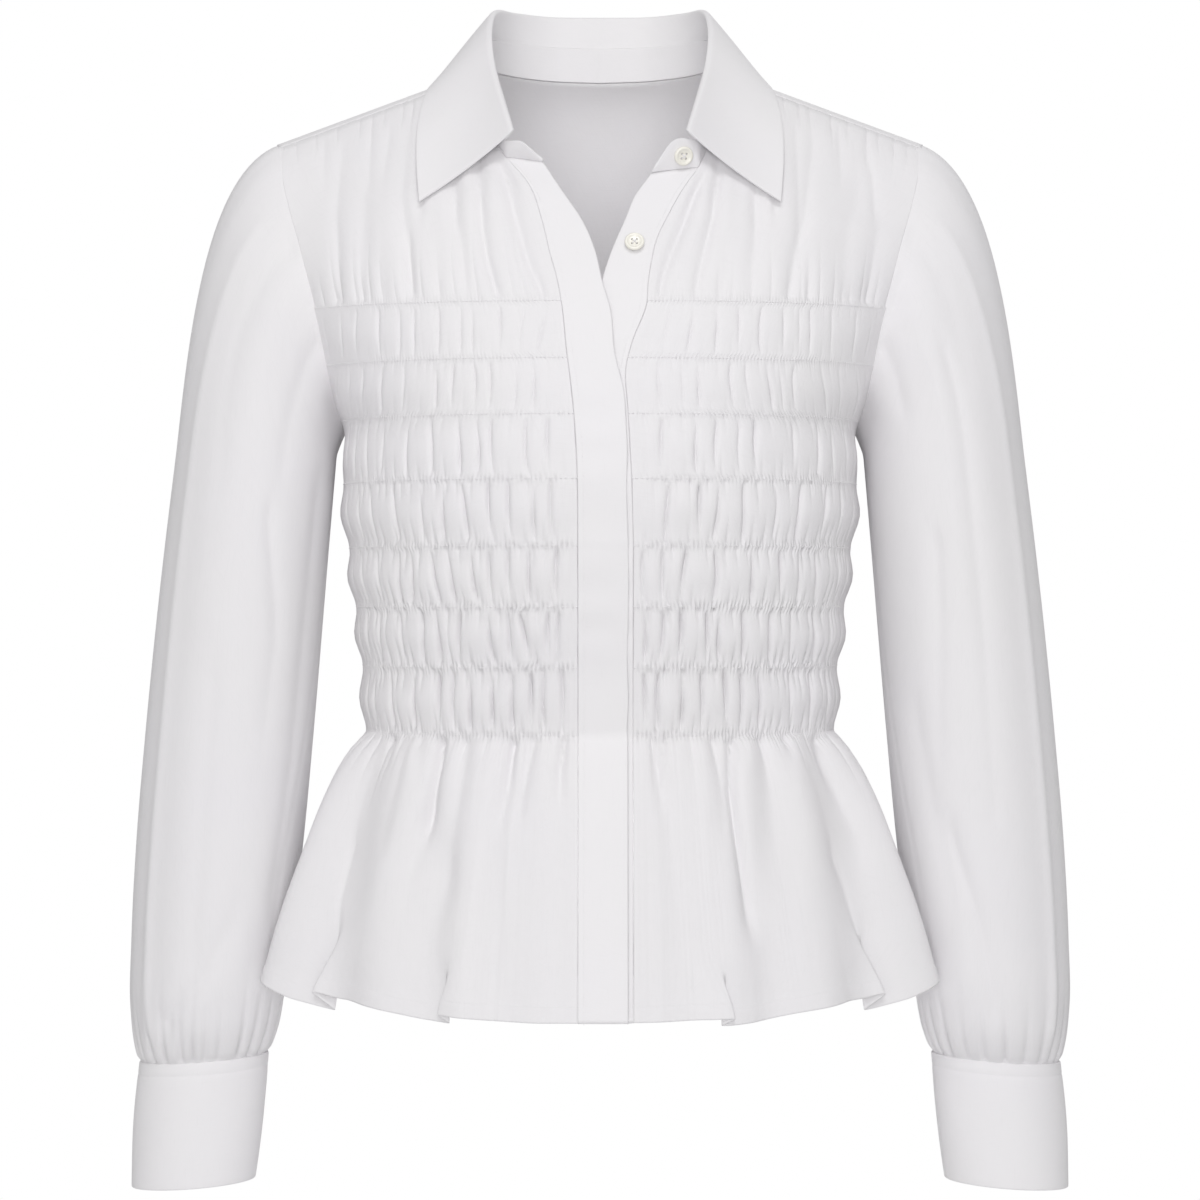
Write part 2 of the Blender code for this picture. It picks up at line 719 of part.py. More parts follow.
def band_point(side, height, across):
    """A point of a front band; across is 0 at its seam and 1 at its free edge."""
    height, across = np.broadcast_arrays(height, across)
    table = band_table(side)
    top = max(row[0] for row in table)
    seam, edge, seam_depth, edge_depth = np.moveaxis(read(table, height), -1, 0)
    share = np.clip((ELASTIC_ROWS[-1] - height) / HEM_DROP[0][1], 0, 1)
    body_depth = np.where(share > 0, read(PEPLUM, share)[..., 1], read(BODY, height)[..., 1])
    body_depth = body_depth + BAND_PROUD[side]
    below_table = height < min(row[0] for row in table)
    seam_depth = np.where(below_table, body_depth, seam_depth)
    edge_depth = np.where(below_table, body_depth, edge_depth)
    x = seam - SEAM_GAP + (edge - seam + SEAM_GAP) * across
    depth = seam_depth + (edge_depth - seam_depth) * across + BAND_CROWN * 4 * across * (1 - across)
    tilt = BAND_TILT * ease((height - ELASTIC_ROWS[0]) / (top - ELASTIC_ROWS[0]))
    return np.stack([x, -depth, height + tilt * across], -1)


def band_rows(side):
    """A front band from the neck to the hem."""
    top = max(row[0] for row in band_table(side))
    chest_heights = np.linspace(top, ELASTIC_ROWS[0], CHEST_BAND_STEPS + 1)[:-1]
    chest_heights[0] -= SEAM_GAP
    heights = np.concatenate([chest_heights, body_heights(ELASTIC_ROWS[0])[:, 0]])
    return band_point(side, heights[:, None], np.array([[0.0, 0.5, 1.0]]))


def front_band(name, side):
    return shell(name, mirrored(band_rows(side), side), BAND_WALL, flip=side == "left")


def stand_rows(side):
    low = neck_line(side)
    high = stand_top(side, length_shares(low)[:, None])[:, 0]
    lift = unit(high - low) * SEAM_GAP * 1.5
    return np.stack([high, (low + high) / 2, low + lift])


def collar_stand():
    half = {side: stand_rows(side) for side in SIGN}
    return shell("collar_stand", both_halves(half), BAND_WALL, flip=True)


def collar_leaf():
    v = np.array(LEAF_ROWS)[:, None]
    half = {}
    for side in SIGN:
        share = length_shares(neck_line(side))
        share = np.concatenate([share[share < LEAF_SHARE - 0.03], [LEAF_SHARE]])
        half[side] = leaf(share[None, :], v)
    return shell("collar_leaf", both_halves(half), BAND_WALL, flip=True)


# ---------------------------------------------------------------- buttons
def turned_button():
    """A shirt button turned from its profile, with four sewing holes cut through."""
    profile = bmesh.new()
    dish = BUTTON_THICKNESS - BUTTON_DISH
    points = (
        (0.0, dish),
        (BUTTON_RADIUS - 2 * BUTTON_RIM, dish),
        (BUTTON_RADIUS - BUTTON_RIM, BUTTON_THICKNESS),
        (BUTTON_RADIUS, BUTTON_THICKNESS - BUTTON_ROUND),
        (BUTTON_RADIUS, BUTTON_ROUND),
        (BUTTON_RADIUS - BUTTON_ROUND, 0.0),
        (0.0, 0.0),
    )
    verts = [profile.verts.new((x * MM, 0, z * MM)) for x, z in points]
    edges = [profile.edges.new(pair) for pair in zip(verts, verts[1:])]
    bmesh.ops.spin(profile, geom=verts + edges, axis=(0, 0, 1), cent=(0, 0, 0), angle=2 * math.pi,
                   steps=BUTTON_SIDES)
    bmesh.ops.remove_doubles(profile, verts=profile.verts, dist=1e-5)
    bmesh.ops.recalc_face_normals(profile, faces=profile.faces)
    mesh = bpy.data.meshes.new("button")
    profile.to_mesh(mesh)
    profile.free()
    return mesh


def hole_cutter():
    """Four pins that cut a button's sewing holes."""
    pins = bmesh.new()
    for x in (-BUTTON_HOLE_OFFSET, BUTTON_HOLE_OFFSET):
        for y in (-BUTTON_HOLE_OFFSET, BUTTON_HOLE_OFFSET):
            place = Matrix.Translation((x * MM, y * MM, BUTTON_THICKNESS / 2 * MM))
            bmesh.ops.create_cone(pins, cap_ends=True, segments=HOLE_SIDES, matrix=place,
                                  radius1=BUTTON_HOLE_RADIUS * MM, radius2=BUTTON_HOLE_RADIUS * MM,
                                  depth=4 * BUTTON_THICKNESS * MM)
    mesh = bpy.data.meshes.new("hole_cutter")
    pins.to_mesh(mesh)
    pins.free()
    return mesh


def button(name, seat, across, down):
    """A button lying just off the cloth at its seat, given two ways along the cloth."""
    facing = Vector(np.cross(across, down)).normalized()
    if facing.y > 0:
        facing.negate()
    thing = add(name, turned_button(), "button")
    thing.location = (Vector(seat) + facing * BUTTON_STANDS_OFF) * MM
    thing.rotation_euler = facing.to_track_quat("Z", "Y").to_euler()
    cutter = bpy.data.objects.new(f"{name}_holes", hole_cutter())
    CUTTERS.objects.link(cutter)
    cutter.location = thing.location
    cutter.rotation_euler = thing.rotation_euler
    cutter.display_type = "WIRE"
    cutter.hide_render = True
    cut = thing.modifiers.new("sewing holes", "BOOLEAN")
    cut.operation = "DIFFERENCE"
    cut.object = cutter
    return thing


def chest_button():
    height = CHEST_BUTTON_Z + np.array([-5.0, 0.0, 5.0])
    seat = mirrored(band_point("left", height[1], 0.5), "left")
    ends = mirrored(band_point("left", height, 0.5), "left")
    sides = mirrored(band_point("left", height[1], np.array([0.2, 0.8])), "left")
    return button("button_chest", seat, sides[1] - sides[0], ends[2] - ends[0])


def neck_button():
    """On the outer face of the stand's left end, in the middle of a flat part."""
    top, low = mirrored(stand_rows("left"), "left")[::2, -3:-1]
    seat = (top + low).sum(0) / 4
    across = (top + low)[1] - (top + low)[0]
    return button("button_neck", seat, across, (top - low).sum(0))


# ---------------------------------------------------------------- the shirt
for old in list(bpy.data.objects):
    bpy.data.objects.remove(old, do_unlink=True)

SHIRT = bpy.data.collections.new("fitted_shirt")
CUTTERS = bpy.data.collections.new("cutters")
bpy.context.scene.collection.children.link(SHIRT)
bpy.context.scene.collection.children.link(CUTTERS)
WEARER = bpy.data.objects.new("wearer", None)
SHIRT.objects.link(WEARER)

for wearer_side in SIGN:
    front(wearer_side)
    sleeve(wearer_side)
    cuff(wearer_side)
back()
yoke_piece()
front_band("fly_placket", "right")
front_band("button_band", "left")
collar_stand()
collar_leaf()
chest_button()
neck_button()
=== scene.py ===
# %% [markdown]
# # A fitted shirt, filled out with nobody in it
#
# A blouse of thin white cotton poplin: long sleeves gathered into deep cuffs, a pointed
# collar on a stand, buttons hidden under a fly, and eight rows of elastic thread that draw
# the body in, with a short peplum let go below the last one. The solid model already says
# where every cut piece lies. This lesson gives each of those pieces its real cloth: thin,
# puckered along the elastic, pillowed between its rows and creased where it hangs.

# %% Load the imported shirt
import math

import bmesh
import bpy
import numpy as np
from mathutils import Matrix, Vector


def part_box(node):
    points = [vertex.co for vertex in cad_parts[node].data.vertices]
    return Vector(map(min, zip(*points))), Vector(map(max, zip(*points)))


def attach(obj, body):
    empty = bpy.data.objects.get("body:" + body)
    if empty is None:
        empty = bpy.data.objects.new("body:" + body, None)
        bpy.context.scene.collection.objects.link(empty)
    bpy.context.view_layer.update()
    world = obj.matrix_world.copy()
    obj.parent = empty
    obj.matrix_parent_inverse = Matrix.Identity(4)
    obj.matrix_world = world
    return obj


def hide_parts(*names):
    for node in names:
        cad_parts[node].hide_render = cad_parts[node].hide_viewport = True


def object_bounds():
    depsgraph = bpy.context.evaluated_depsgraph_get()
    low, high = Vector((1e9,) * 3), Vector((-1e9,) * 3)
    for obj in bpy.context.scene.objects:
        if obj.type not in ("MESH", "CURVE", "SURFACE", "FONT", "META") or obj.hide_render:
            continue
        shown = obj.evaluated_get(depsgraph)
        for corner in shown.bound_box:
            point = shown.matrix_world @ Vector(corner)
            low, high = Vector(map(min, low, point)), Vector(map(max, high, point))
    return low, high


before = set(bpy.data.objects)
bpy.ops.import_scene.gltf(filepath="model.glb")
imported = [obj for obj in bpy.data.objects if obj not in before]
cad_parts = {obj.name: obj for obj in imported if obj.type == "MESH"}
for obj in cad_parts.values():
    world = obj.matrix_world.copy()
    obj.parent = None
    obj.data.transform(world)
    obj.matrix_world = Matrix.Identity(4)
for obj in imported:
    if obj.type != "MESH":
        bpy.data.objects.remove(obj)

solid_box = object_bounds()
print("cut pieces in the solid model:", sorted(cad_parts))

# %% [markdown]
# ## The studio
#
# White cloth on white needs a room that is white but not flat. The room's own light comes
# from everywhere, and a wide lamp in front adds more to whatever faces it, so a surface that
# turns away gets slightly darker and a crease can be read. A second lamp shines from above,
# a third lights the back, and a faint one inside stands for the light that thin cotton lets
# through. The camera sees the room as pure white. A pale floor lies well below the cuffs.

# %% Camera, lamps, room and floor
MM = 0.001
WHITE = (1, 1, 1, 1)
lowest, highest = (np.array(corner) for corner in solid_box)
shirt_middle = (lowest[2] + highest[2]) / 2
# the camera stands a little below the middle of the shirt
CAMERA_AWAY, CAMERA_DROP = 2.2, 0.005
FOCAL_LENGTH, FILM_WIDTH = 110, 36


def placed(name, data):
    """A new object in the scene."""
    thing = bpy.data.objects.new(name, data)
    bpy.context.collection.objects.link(thing)
    return thing


def new_node(tree, kind, inputs=None, **settings):
    """A node with its settings; each input is a number, a colour or another node's socket."""
    made = tree.nodes.new(kind)
    for name, value in settings.items():
        setattr(made, name, value)
    for place, value in (inputs or {}).items():
        if isinstance(value, bpy.types.NodeSocket):
            tree.links.new(value, made.inputs[place])
        else:
            made.inputs[place].default_value = value
    return made


lens = bpy.data.cameras.new("camera")
lens.lens, lens.sensor_width = FOCAL_LENGTH, FILM_WIDTH
camera = placed("camera", lens)
camera.location = (0, -CAMERA_AWAY, shirt_middle - CAMERA_DROP)
camera.rotation_euler = (math.radians(90), 0, 0)
bpy.context.scene.camera = camera

# name: place, width and height, watts, the place that it looks at
LAMPS = {
    "front lamp": ((-0.1, -3.2, -0.15), (1.6, 1.1), 36, (0, 0, shirt_middle)),
    "top lamp": ((0.0, -1.6, 1.5), (1.0, 0.7), 13, (0, 0, shirt_middle)),
    "back lamp": ((0.8, 2.6, 1.4), (2.4, 1.6), 18, (0, 0, shirt_middle)),
    "inner lamp": ((0.0, -0.01, -0.52), (0.1, 0.1), 0.24, (0, 0.07, -0.02)),
}
for name, (place, (wide, tall), watts, looks_at) in LAMPS.items():
    light = bpy.data.lights.new(name, "AREA")
    light.shape, light.size, light.size_y, light.energy = "RECTANGLE", wide, tall, watts
    lamp = placed(name, light)
    lamp.location = place
    lamp.rotation_euler = (Vector(looks_at) - Vector(place)).to_track_quat("-Z", "Y").to_euler()
    lamp.visible_camera = False

ROOM_LIGHT, ROOM_SEEN = 0.5, 1.0
room = bpy.data.worlds.new("white room")
room.use_nodes = True
bpy.context.scene.world = room
tree = room.node_tree
tree.nodes.clear()
seen, lighting = (
    new_node(tree, "ShaderNodeBackground", {"Color": WHITE, "Strength": strength})
    for strength in (ROOM_SEEN, ROOM_LIGHT)
)
ray = new_node(tree, "ShaderNodeLightPath")
by_ray = {0: ray.outputs["Is Camera Ray"], 1: lighting.outputs[0], 2: seen.outputs[0]}
choose = new_node(tree, "ShaderNodeMixShader", by_ray)
new_node(tree, "ShaderNodeOutputWorld", {0: choose.outputs[0]})
bpy.context.scene.view_settings.view_transform = "Standard"

FLOOR_DROP, FLOOR_SIZE = 0.42, 1.5
bpy.ops.mesh.primitive_plane_add(size=FLOOR_SIZE, location=(0, 0, lowest[2] - FLOOR_DROP))
floor = bpy.context.object
floor.name = "floor"
floor_paint = bpy.data.materials.new("pale floor")
floor_paint.use_nodes = True
floor_shader = floor_paint.node_tree.nodes["Principled BSDF"]
floor_shader.inputs["Base Color"].default_value = (0.86, 0.86, 0.86, 1)
floor_shader.inputs["Roughness"].default_value = 0.9
floor.data.materials.append(floor_paint)
print("camera at", [round(x, 3) for x in camera.location], "floor at", round(floor.location.z, 3))

# %% [markdown]
# ## Reading a pattern smoothly
#
# Garment makers mark a few points and draw a fair curve through them. These helpers do the
# same: `read` draws a smooth curve through a small table, `hermite` joins two points that
# each have a direction, and `along` walks a share of the way down a path. Everything about
# the form below is in millimetres and is worked out for one side, with X as the distance
# from the middle of the body.

# %% Curves through a few points
SIGN = {"right": -1.0, "left": 1.0}


def hermite(start, leave, end, arrive, t):
    """A cubic between two points with a given direction at each."""
    return (
        start * (2 * t**3 - 3 * t**2 + 1)
        + leave * (t**3 - 2 * t**2 + t)
        + end * (3 * t**2 - 2 * t**3)
        + arrive * (t**3 - t**2)
    )


def read(table, at):
    """Read a table smoothly: its first column is the key, the others are returned."""
    rows = np.array(sorted(table), float)
    keys, values = rows[:, 0], rows[:, 1:]
    at = np.clip(np.asarray(at, float), keys[0], keys[-1])
    slopes = np.gradient(values, keys, axis=0)
    low = np.clip(np.searchsorted(keys, at) - 1, 0, len(keys) - 2)
    span = (keys[low + 1] - keys[low])[..., None]
    t = (at - keys[low])[..., None] / span
    return hermite(values[low], slopes[low] * span, values[low + 1], slopes[low + 1] * span, t)


def length_shares(points):
    """How far along a path each of its points lies, as a share of the whole."""
    steps = np.linalg.norm(np.diff(np.array(points, float), axis=0), axis=1)
    return np.concatenate([[0], np.cumsum(steps)]) / steps.sum()


def along(points, share):
    """A point at a share of the length of a smooth path through the points."""
    return read(np.column_stack([length_shares(points), points]).tolist(), share)


def length(points):
    """The length of a path."""
    return float(np.linalg.norm(np.diff(np.array(points, float), axis=0), axis=1).sum())


def unit(vectors):
    """The same directions, one long."""
    return vectors / np.maximum(np.linalg.norm(vectors, axis=-1, keepdims=True), 1e-9)


def ease(x):
    """0 below 0, 1 above 1 and a smooth step between."""
    x = np.clip(x, 0, 1)
    return x * x * (3 - 2 * x)


def mirrored(points, side):
    """Turn distances from the middle into X on one side of the body."""
    points = np.array(points, float)
    points[..., 0] *= SIGN[side]
    return points


def both_halves(half):
    """Join a half that starts in the middle to its mirror image, right side first."""
    right = mirrored(half["right"], "right")[:, ::-1]
    left = mirrored(half["left"], "left")[:, 1:]
    return np.concatenate([right, left], axis=1)


HILL = ((0, 0), (1, 1), (2, 0))
print("a fair curve through", HILL, "is at height", read(HILL, 0.5), "a quarter of the way")

# %% [markdown]
# ## The form of the body
#
# Every level of the body is a squared ellipse with the side seam a little behind its
# middle. A table gives its half width and its depth in front and behind, from the chest
# down to the last elastic row, and a second one carries on down the peplum, whose flutes
# stand out by angle. Working the form out this way keeps the cloth exactly on the solid
# pieces that it stands for, however fine its mesh is.

# %% Levels, rows and flutes
ELASTIC_ROWS = (-138.0, -171.0, -203.0, -240.0, -278.0, -313.0, -348.0, -387.0)
SQUARENESS = 2.2
SIDE_SEAM_Y = 4.0
UNDERARM_Z = -209.0
YOKE_SEAM_Z = -124.0
BAND_PUFF, PUFF_IN_FRONT = 3.2, 0.2
HEM_FALL = 161.6

# height, half width, depth in front, depth behind
BODY = (
    (-100, 198, 97, 92), (-124, 190, 104, 92), (-138, 185, 108, 93), (-157, 176, 113, 93),
    (-178, 167, 117, 92), (-195, 159, 119, 91), (-203, 155, 120, 91), (-209, 153, 120.5, 90.5),
    (-240, 153.5, 122, 88), (-278, 150, 117, 84), (-313, 146, 110, 79), (-348, 142, 101, 74),
    (-387, 140, 92, 70),
)
# share of the drop below the last elastic row, half width, depth in front, depth behind
PEPLUM = (
    (0.00, 140, 92, 70), (0.05, 145, 96, 75), (0.12, 150, 100, 79), (0.25, 157, 106, 84),
    (0.50, 168, 114, 91), (0.75, 179, 121, 97), (1.00, 188, 128, 103),
)
# angle from the middle of the front, drop from the last elastic row to the hem
HEM_DROP = (
    (0, HEM_FALL), (27, 160.5), (37, 157.3), (46, 156), (55, 155.5), (62, 151), (69, 145.3),
    (90, 149), (120, 156), (180, 159),
)
# angle from the middle of the front at the hem, how far the hem stands out there
FLUTES = {
    "right": (
        (0, 0), (8, 1.5), (15.7, -2), (22, 2), (28, -2.5), (40, 3), (55, -1), (69, 22.5), (82, 0),
        (92, -9), (103, 3), (114, -6), (127, 7), (140, -7), (152, 7), (166, -6), (180, 5),
    ),
    "left": (
        (0, 0), (6, 1), (13.5, -2), (21, 2.5), (29, -3), (41, 3.5), (54, -1), (69, 22.5), (82, 0),
        (92, -9), (102, 4), (116, -7), (129, 6), (141, -6), (155, 8), (168, -7), (180, 5),
    ),
}
FLUTE_DRIFT = 10.0
# height, front and back distance of the armhole from the middle of the body
ARMHOLE = (
    (-209, 153, 153), (-203, 154.5, 154.5), (-195, 157, 156.5), (-178, 160, 160),
    (-157, 163.5, 163.5), (-138, 167.5, 167.5), (-124, 170.5, 169.5),
)
# height, seam to the front panel, free edge, depth at the seam, depth at the edge
FLY = (
    (-51, 55, 33, 65, 73), (-67, 42, 23, 78, 81), (-90, 33.5, 9.2, 88.5, 91),
    (-107, 29.5, 2.9, 96, 98), (-128, 24, -1.7, 105, 106), (-138, 22.2, -4.6, 108, 108.8),
    (-167, 19, -8.5, 115.5, 116), (-196, 15.5, -14.2, 119.5, 120),
    (-235, 13, -15.3, 122.5, 122.5), (-278, 12.6, -16, 117.5, 117.5),
)
UNDER_BAND = (
    (-57, 57.5, 30, 66, 72), (-71, 48, 20.5, 75, 79), (-87, 39.3, 14.4, 83, 86),
    (-101, 32.8, 8.8, 91, 92), (-115, 29.5, 4, 98, 98), (-130, 27.4, 0, 104, 103),
    (-138, 27, -2, 106.4, 105.4), (-163, 18, -7, 112.6, 111.8), (-175, 15, -8, 115.2, 114.4),
    (-203, 16, -8, 118.6, 118), (-240, 18, -8, 120.6, 120), (-278, 19, -8, 115.6, 115),
)
BANDS = {"right": FLY, "left": UNDER_BAND}
print("elastic rows:", len(ELASTIC_ROWS), "flutes a side:", len(FLUTES["left"]))

# %% [markdown]
# A maker checks a pattern by asking where one mark of it lies on the body. The functions
# below answer that: first the bare section, then the puffs between two rows and the flutes
# of the peplum on top of it. Both can be faded out, since a sleeve holds the cloth flat
# beside its armhole.

# %% A point on the body
def section(angle, half_width, front, back, out):
    """X and Y round a horizontal section; angle 0 is the middle of the front."""
    s, c = np.sin(angle), np.cos(angle)
    power = 2 / SQUARENESS
    depth = np.where(c >= 0, front + SIDE_SEAM_Y, back - SIDE_SEAM_Y)
    x = half_width * np.abs(s) ** power + out * s
    y = SIDE_SEAM_Y - np.sign(c) * depth * np.abs(c) ** power - out * c
    return x, y


def angle_at(x, half_width):
    """The angle at which a section is x from the middle of the body."""
    return np.arcsin(np.clip(x / half_width, 0, 1) ** (SQUARENESS / 2))


def puff(height, angle):
    """How far the cloth stands out between two elastic rows; it is fullest at the sides."""
    rows = np.array(ELASTIC_ROWS[::-1])
    low = np.clip(np.searchsorted(rows, height) - 1, 0, len(rows) - 2)
    share = np.clip((height - rows[low]) / (rows[low + 1] - rows[low]), 0, 1)
    fullness = PUFF_IN_FRONT + (1 - PUFF_IN_FRONT) * np.sin(angle) ** 6
    return BAND_PUFF * np.sin(math.pi * share) ** 2 * fullness


def flute(side, angle, share):
    """How far the peplum stands out at an angle, at a share of its drop."""
    degrees = np.degrees(angle)
    drift = FLUTE_DRIFT * (1 - share) * np.sin(2 * np.clip(angle, 0, math.pi / 2))
    return read(FLUTES[side], degrees - drift)[..., 0] * np.sqrt(share)


def peplum_share(height):
    """The share of the peplum's drop at a height; 0 above it."""
    return np.clip((ELASTIC_ROWS[-1] - height) / HEM_FALL, 0, 1)


def body_half_width(height):
    """Half the width of the body's section at a height."""
    share = peplum_share(height)
    return np.where(share > 0, read(PEPLUM, share)[..., 0], read(BODY, height)[..., 0])


def body_point(side, angle, height, relief):
    """A point of the shell below the yoke; relief fades its puffs and flutes."""
    share = peplum_share(height)
    size = np.where((share > 0)[..., None], read(PEPLUM, share), read(BODY, height))
    out = np.where(share > 0, flute(side, angle, share), puff(height, angle)) * relief
    x, y = section(angle, size[..., 0], size[..., 1], size[..., 2], out)
    drop = read(HEM_DROP, np.degrees(angle))[..., 0] * share
    z = np.where(share > 0, ELASTIC_ROWS[-1] - drop, height)
    return np.stack([x, y, z], -1)


girths = (UNDERARM_Z, ELASTIC_ROWS[-1], ELASTIC_ROWS[-1] - HEM_FALL)
print("width at bust, waist, hem:", [float(2 * body_half_width(np.array(z)).round(1)) for z in girths])

# %% [markdown]
# A panel only covers a part of each section. Its own share u runs from 0 at the band, or
# at the middle of the back, to 1 at the side seam or the armhole. The left front lies a
# little behind the right one near the middle, since that is the way a blouse closes.

# %% Where the fronts and the back lie
ARMHOLE_FADE = 0.18
UNDERARM_FADE = 40.0
BESIDE_BAND = 0.1
# how far the left front lies behind, where that starts to lessen, over what width
UNDER_LAP, UNDER_LAP_FROM, UNDER_LAP_OVER = 1.4, 19.0, 40.0


def side_relief(u, height):
    """Relief is full on a side seam, and fades to nothing beside an armhole."""
    below = ease((UNDERARM_Z - height) / UNDERARM_FADE)
    return 1 - (1 - below) * ease((u - 1) / ARMHOLE_FADE + 1)


def under_lap(side, x):
    """The wearer's left front lies a little behind the right one near the middle."""
    if side == "right":
        return 0.0
    return UNDER_LAP * (1 - ease((x - UNDER_LAP_FROM) / UNDER_LAP_OVER))


def front_angles(side, height):
    """The angles of a front panel's two edges: its band's seam and its side or armhole."""
    half_width = body_half_width(height)
    start = angle_at(read(BANDS[side], height)[..., 0], half_width)
    edge = read(ARMHOLE, height)[..., 0]
    end = np.where(height > UNDERARM_Z, angle_at(edge, half_width), math.pi / 2)
    return start, end


def front_ring(side, u, height):
    """The front panel from its first elastic row down; u runs from band to side."""
    u, height = np.broadcast_arrays(u, height)
    start, end = front_angles(side, height)
    relief = ease(u / BESIDE_BAND) * side_relief(u, height)
    points = body_point(side, start + (end - start) * u, height, relief)
    points[..., 1] += under_lap(side, points[..., 0])
    return points


def back_ring(side, u, height):
    """The back from the yoke seam down; u runs from the middle to the side."""
    u, height = np.broadcast_arrays(u, height)
    edge = read(ARMHOLE, height)[..., 1]
    inside = math.pi - angle_at(edge, body_half_width(height))
    end = np.where(height > UNDERARM_Z, inside, math.pi / 2)
    return body_point(side, math.pi + (end - math.pi) * u, height, side_relief(u, height))


edges = np.degrees(front_angles("right", np.array(ELASTIC_ROWS[0]))).round()
print("a front covers the angles", edges.tolist(), "on its first row")

# %% [markdown]
# ## Chest, yoke and shoulders
#
# The chest is a patch with four edges: the band and neck, the armhole, the first elastic
# row and the shoulder seam. The yoke folds over the shoulder's ridge, so that its front
# edge lies a little in front, as on a real shirt.

# %% Edges of the chest and the yoke
# share of the way from the first elastic row to the shoulder seam, x, y, z
FRONT_ARMHOLE = (
    (0.00, 167.5, -49.5, -138), (0.20, 171.5, -50.5, -120), (0.40, 176.5, -46, -101),
    (0.68, 184.3, -35.5, -75), (0.82, 188.2, -28, -60), (0.92, 190.6, -21, -49),
    (1.00, 192, -12, -39.5),
)
# share of the way from the shoulder's ridge to the yoke seam, x, y, z
BACK_ARMHOLE = (
    (0.00, 193.8, 2, -36.2), (0.20, 191.5, 19, -44), (0.45, 186, 34, -64),
    (0.72, 178, 44.5, -92), (1.00, 169.5, 48.4, -124),
)
CHEST_PULL = (1.0, 0.95)
CHEST_RISES = (0.0, -0.05, 1.0)
CHEST_ARRIVES = (0.1, 0.85, 0.42)
YOKE_PULL = (0.95, 0.8)
YOKE_ARRIVES = (0.0, 0.05, -1.0)
# share along the front panel at the first elastic row, share along the shoulder seam
SHOULDER_FAN = ((0, 0), (0.2, 0.07), (0.4, 0.24), (0.6, 0.48), (0.8, 0.74), (1, 1))
NECK_CORNER = 0.53
# The neck seam from the middle of the back to the ridge, then to the band
NECK_BACK = ((0, 66, 10), (30, 61.5, 10.5), (52, 46, 11), (65.5, 24, 11.2), (70, 2, 9.6))
NECK_FRONT = {
    "right": ((70.5, -13, 5), (71, -32, -12), (66, -50, -33), (55, -65, -51)),
    "left": ((70.5, -13, 5), (71, -32, -12), (67, -50, -35), (57.5, -66, -57)),
}
RIDGE_POINT = (193.8, 2, -36.2)
SEAM_POINT = (192, -12, -39.5)
# share along the yoke's ridge and neck edge, then the way the yoke falls from it
YOKE_LEAVES = (
    (0.00, 0, 0.80, -0.60), (0.20, 0.20, 0.84, -0.50), (0.35, 0.34, 0.88, -0.34),
    (0.45, 0.28, 0.94, -0.18), (0.60, 0.10, 0.98, -0.10), (1.00, 0.00, 0.98, -0.10),
)


def middle_edge(side, v):
    """The front panel's edge toward the middle: the band's seam, then the neck."""
    table = BANDS[side]
    top = max(row[0] for row in table)
    height = ELASTIC_ROWS[0] + np.clip(v / NECK_CORNER, 0, 1) * (top - ELASTIC_ROWS[0])
    row = read(table, height)
    seam = np.stack([row[..., 0], -row[..., 2], height], -1)
    neck = along(NECK_FRONT[side][::-1], np.clip((v - NECK_CORNER) / (1 - NECK_CORNER), 0, 1))
    return np.where((v <= NECK_CORNER)[..., None], seam, neck)


def chest(side, u, v):
    """The front panel above its first elastic row; v runs up to the shoulder seam."""
    u, v = np.broadcast_arrays(u, v)
    low = front_ring(side, u, np.full_like(u, ELASTIC_ROWS[0]))
    high = along((NECK_FRONT[side][0], SEAM_POINT), read(SHOULDER_FAN, u)[..., 0])
    reach = np.linalg.norm(high - low, axis=-1, keepdims=True)
    rise = unit(np.array(CHEST_RISES)) * reach * CHEST_PULL[0]
    arrive = unit(np.array(CHEST_ARRIVES)) * reach * CHEST_PULL[1]
    points = hermite(low, rise, high, arrive, v[..., None])
    neckline = middle_edge(side, v[:, :1]) - points[:, :1]
    armhole = read(FRONT_ARMHOLE, v[:, -1:]) - points[:, -1:]
    return points + (1 - u)[..., None] * neckline + u[..., None] * armhole


def yoke_neck_share():
    """The share of half the yoke's upper edge that lies on the neck."""
    return length(NECK_BACK) / (length(NECK_BACK) + length((NECK_BACK[-1], RIDGE_POINT)))


def yoke_top(u):
    """The yoke's upper edge: along the neck, then along the shoulder's ridge."""
    corner = yoke_neck_share()
    on_neck = along(NECK_BACK, np.clip(u / corner, 0, 1))
    on_ridge = along((NECK_BACK[-1], RIDGE_POINT), np.clip((u - corner) / (1 - corner), 0, 1))
    return np.where((u < corner)[..., None], on_neck, on_ridge)


def yoke(u, v):
    """One half of the yoke behind the shoulder's ridge: u from the middle of the back."""
    u, v = np.broadcast_arrays(u, v)
    high = yoke_top(u)
    low = back_ring("right", u, np.full_like(u, YOKE_SEAM_Z))
    reach = np.linalg.norm(high - low, axis=-1, keepdims=True)
    leave = unit(read(YOKE_LEAVES, u)) * reach * YOKE_PULL[0]
    arrive = unit(np.array(YOKE_ARRIVES)) * reach * YOKE_PULL[1]
    t = v[..., None]
    points = hermite(high, leave, low, arrive, t)
    last_column = hermite(high[:, -1:], leave[:, -1:], low[:, -1:], arrive[:, -1:], t[:, -1:])
    return points + u[..., None] ** 3 * (read(BACK_ARMHOLE, v[:, -1:]) - last_column)


print("shoulder seam:", round(length((NECK_FRONT["right"][0], SEAM_POINT))), "mm")
print("half the back neck:", round(length(NECK_BACK)), "mm")

# %% [markdown]
# ## What white cotton poplin looks like
#
# Poplin is a plain weave of fine yarns: each warp yarn passes over one weft and under the
# next. Two or three yarns in a hundred are a little thicker for a stretch, which is what
# the eye reads as cotton. Neither belongs to one piece, so each is a node group that every
# cloth uses at its own scale. They read the cloth's own map, which is laid out in metres.

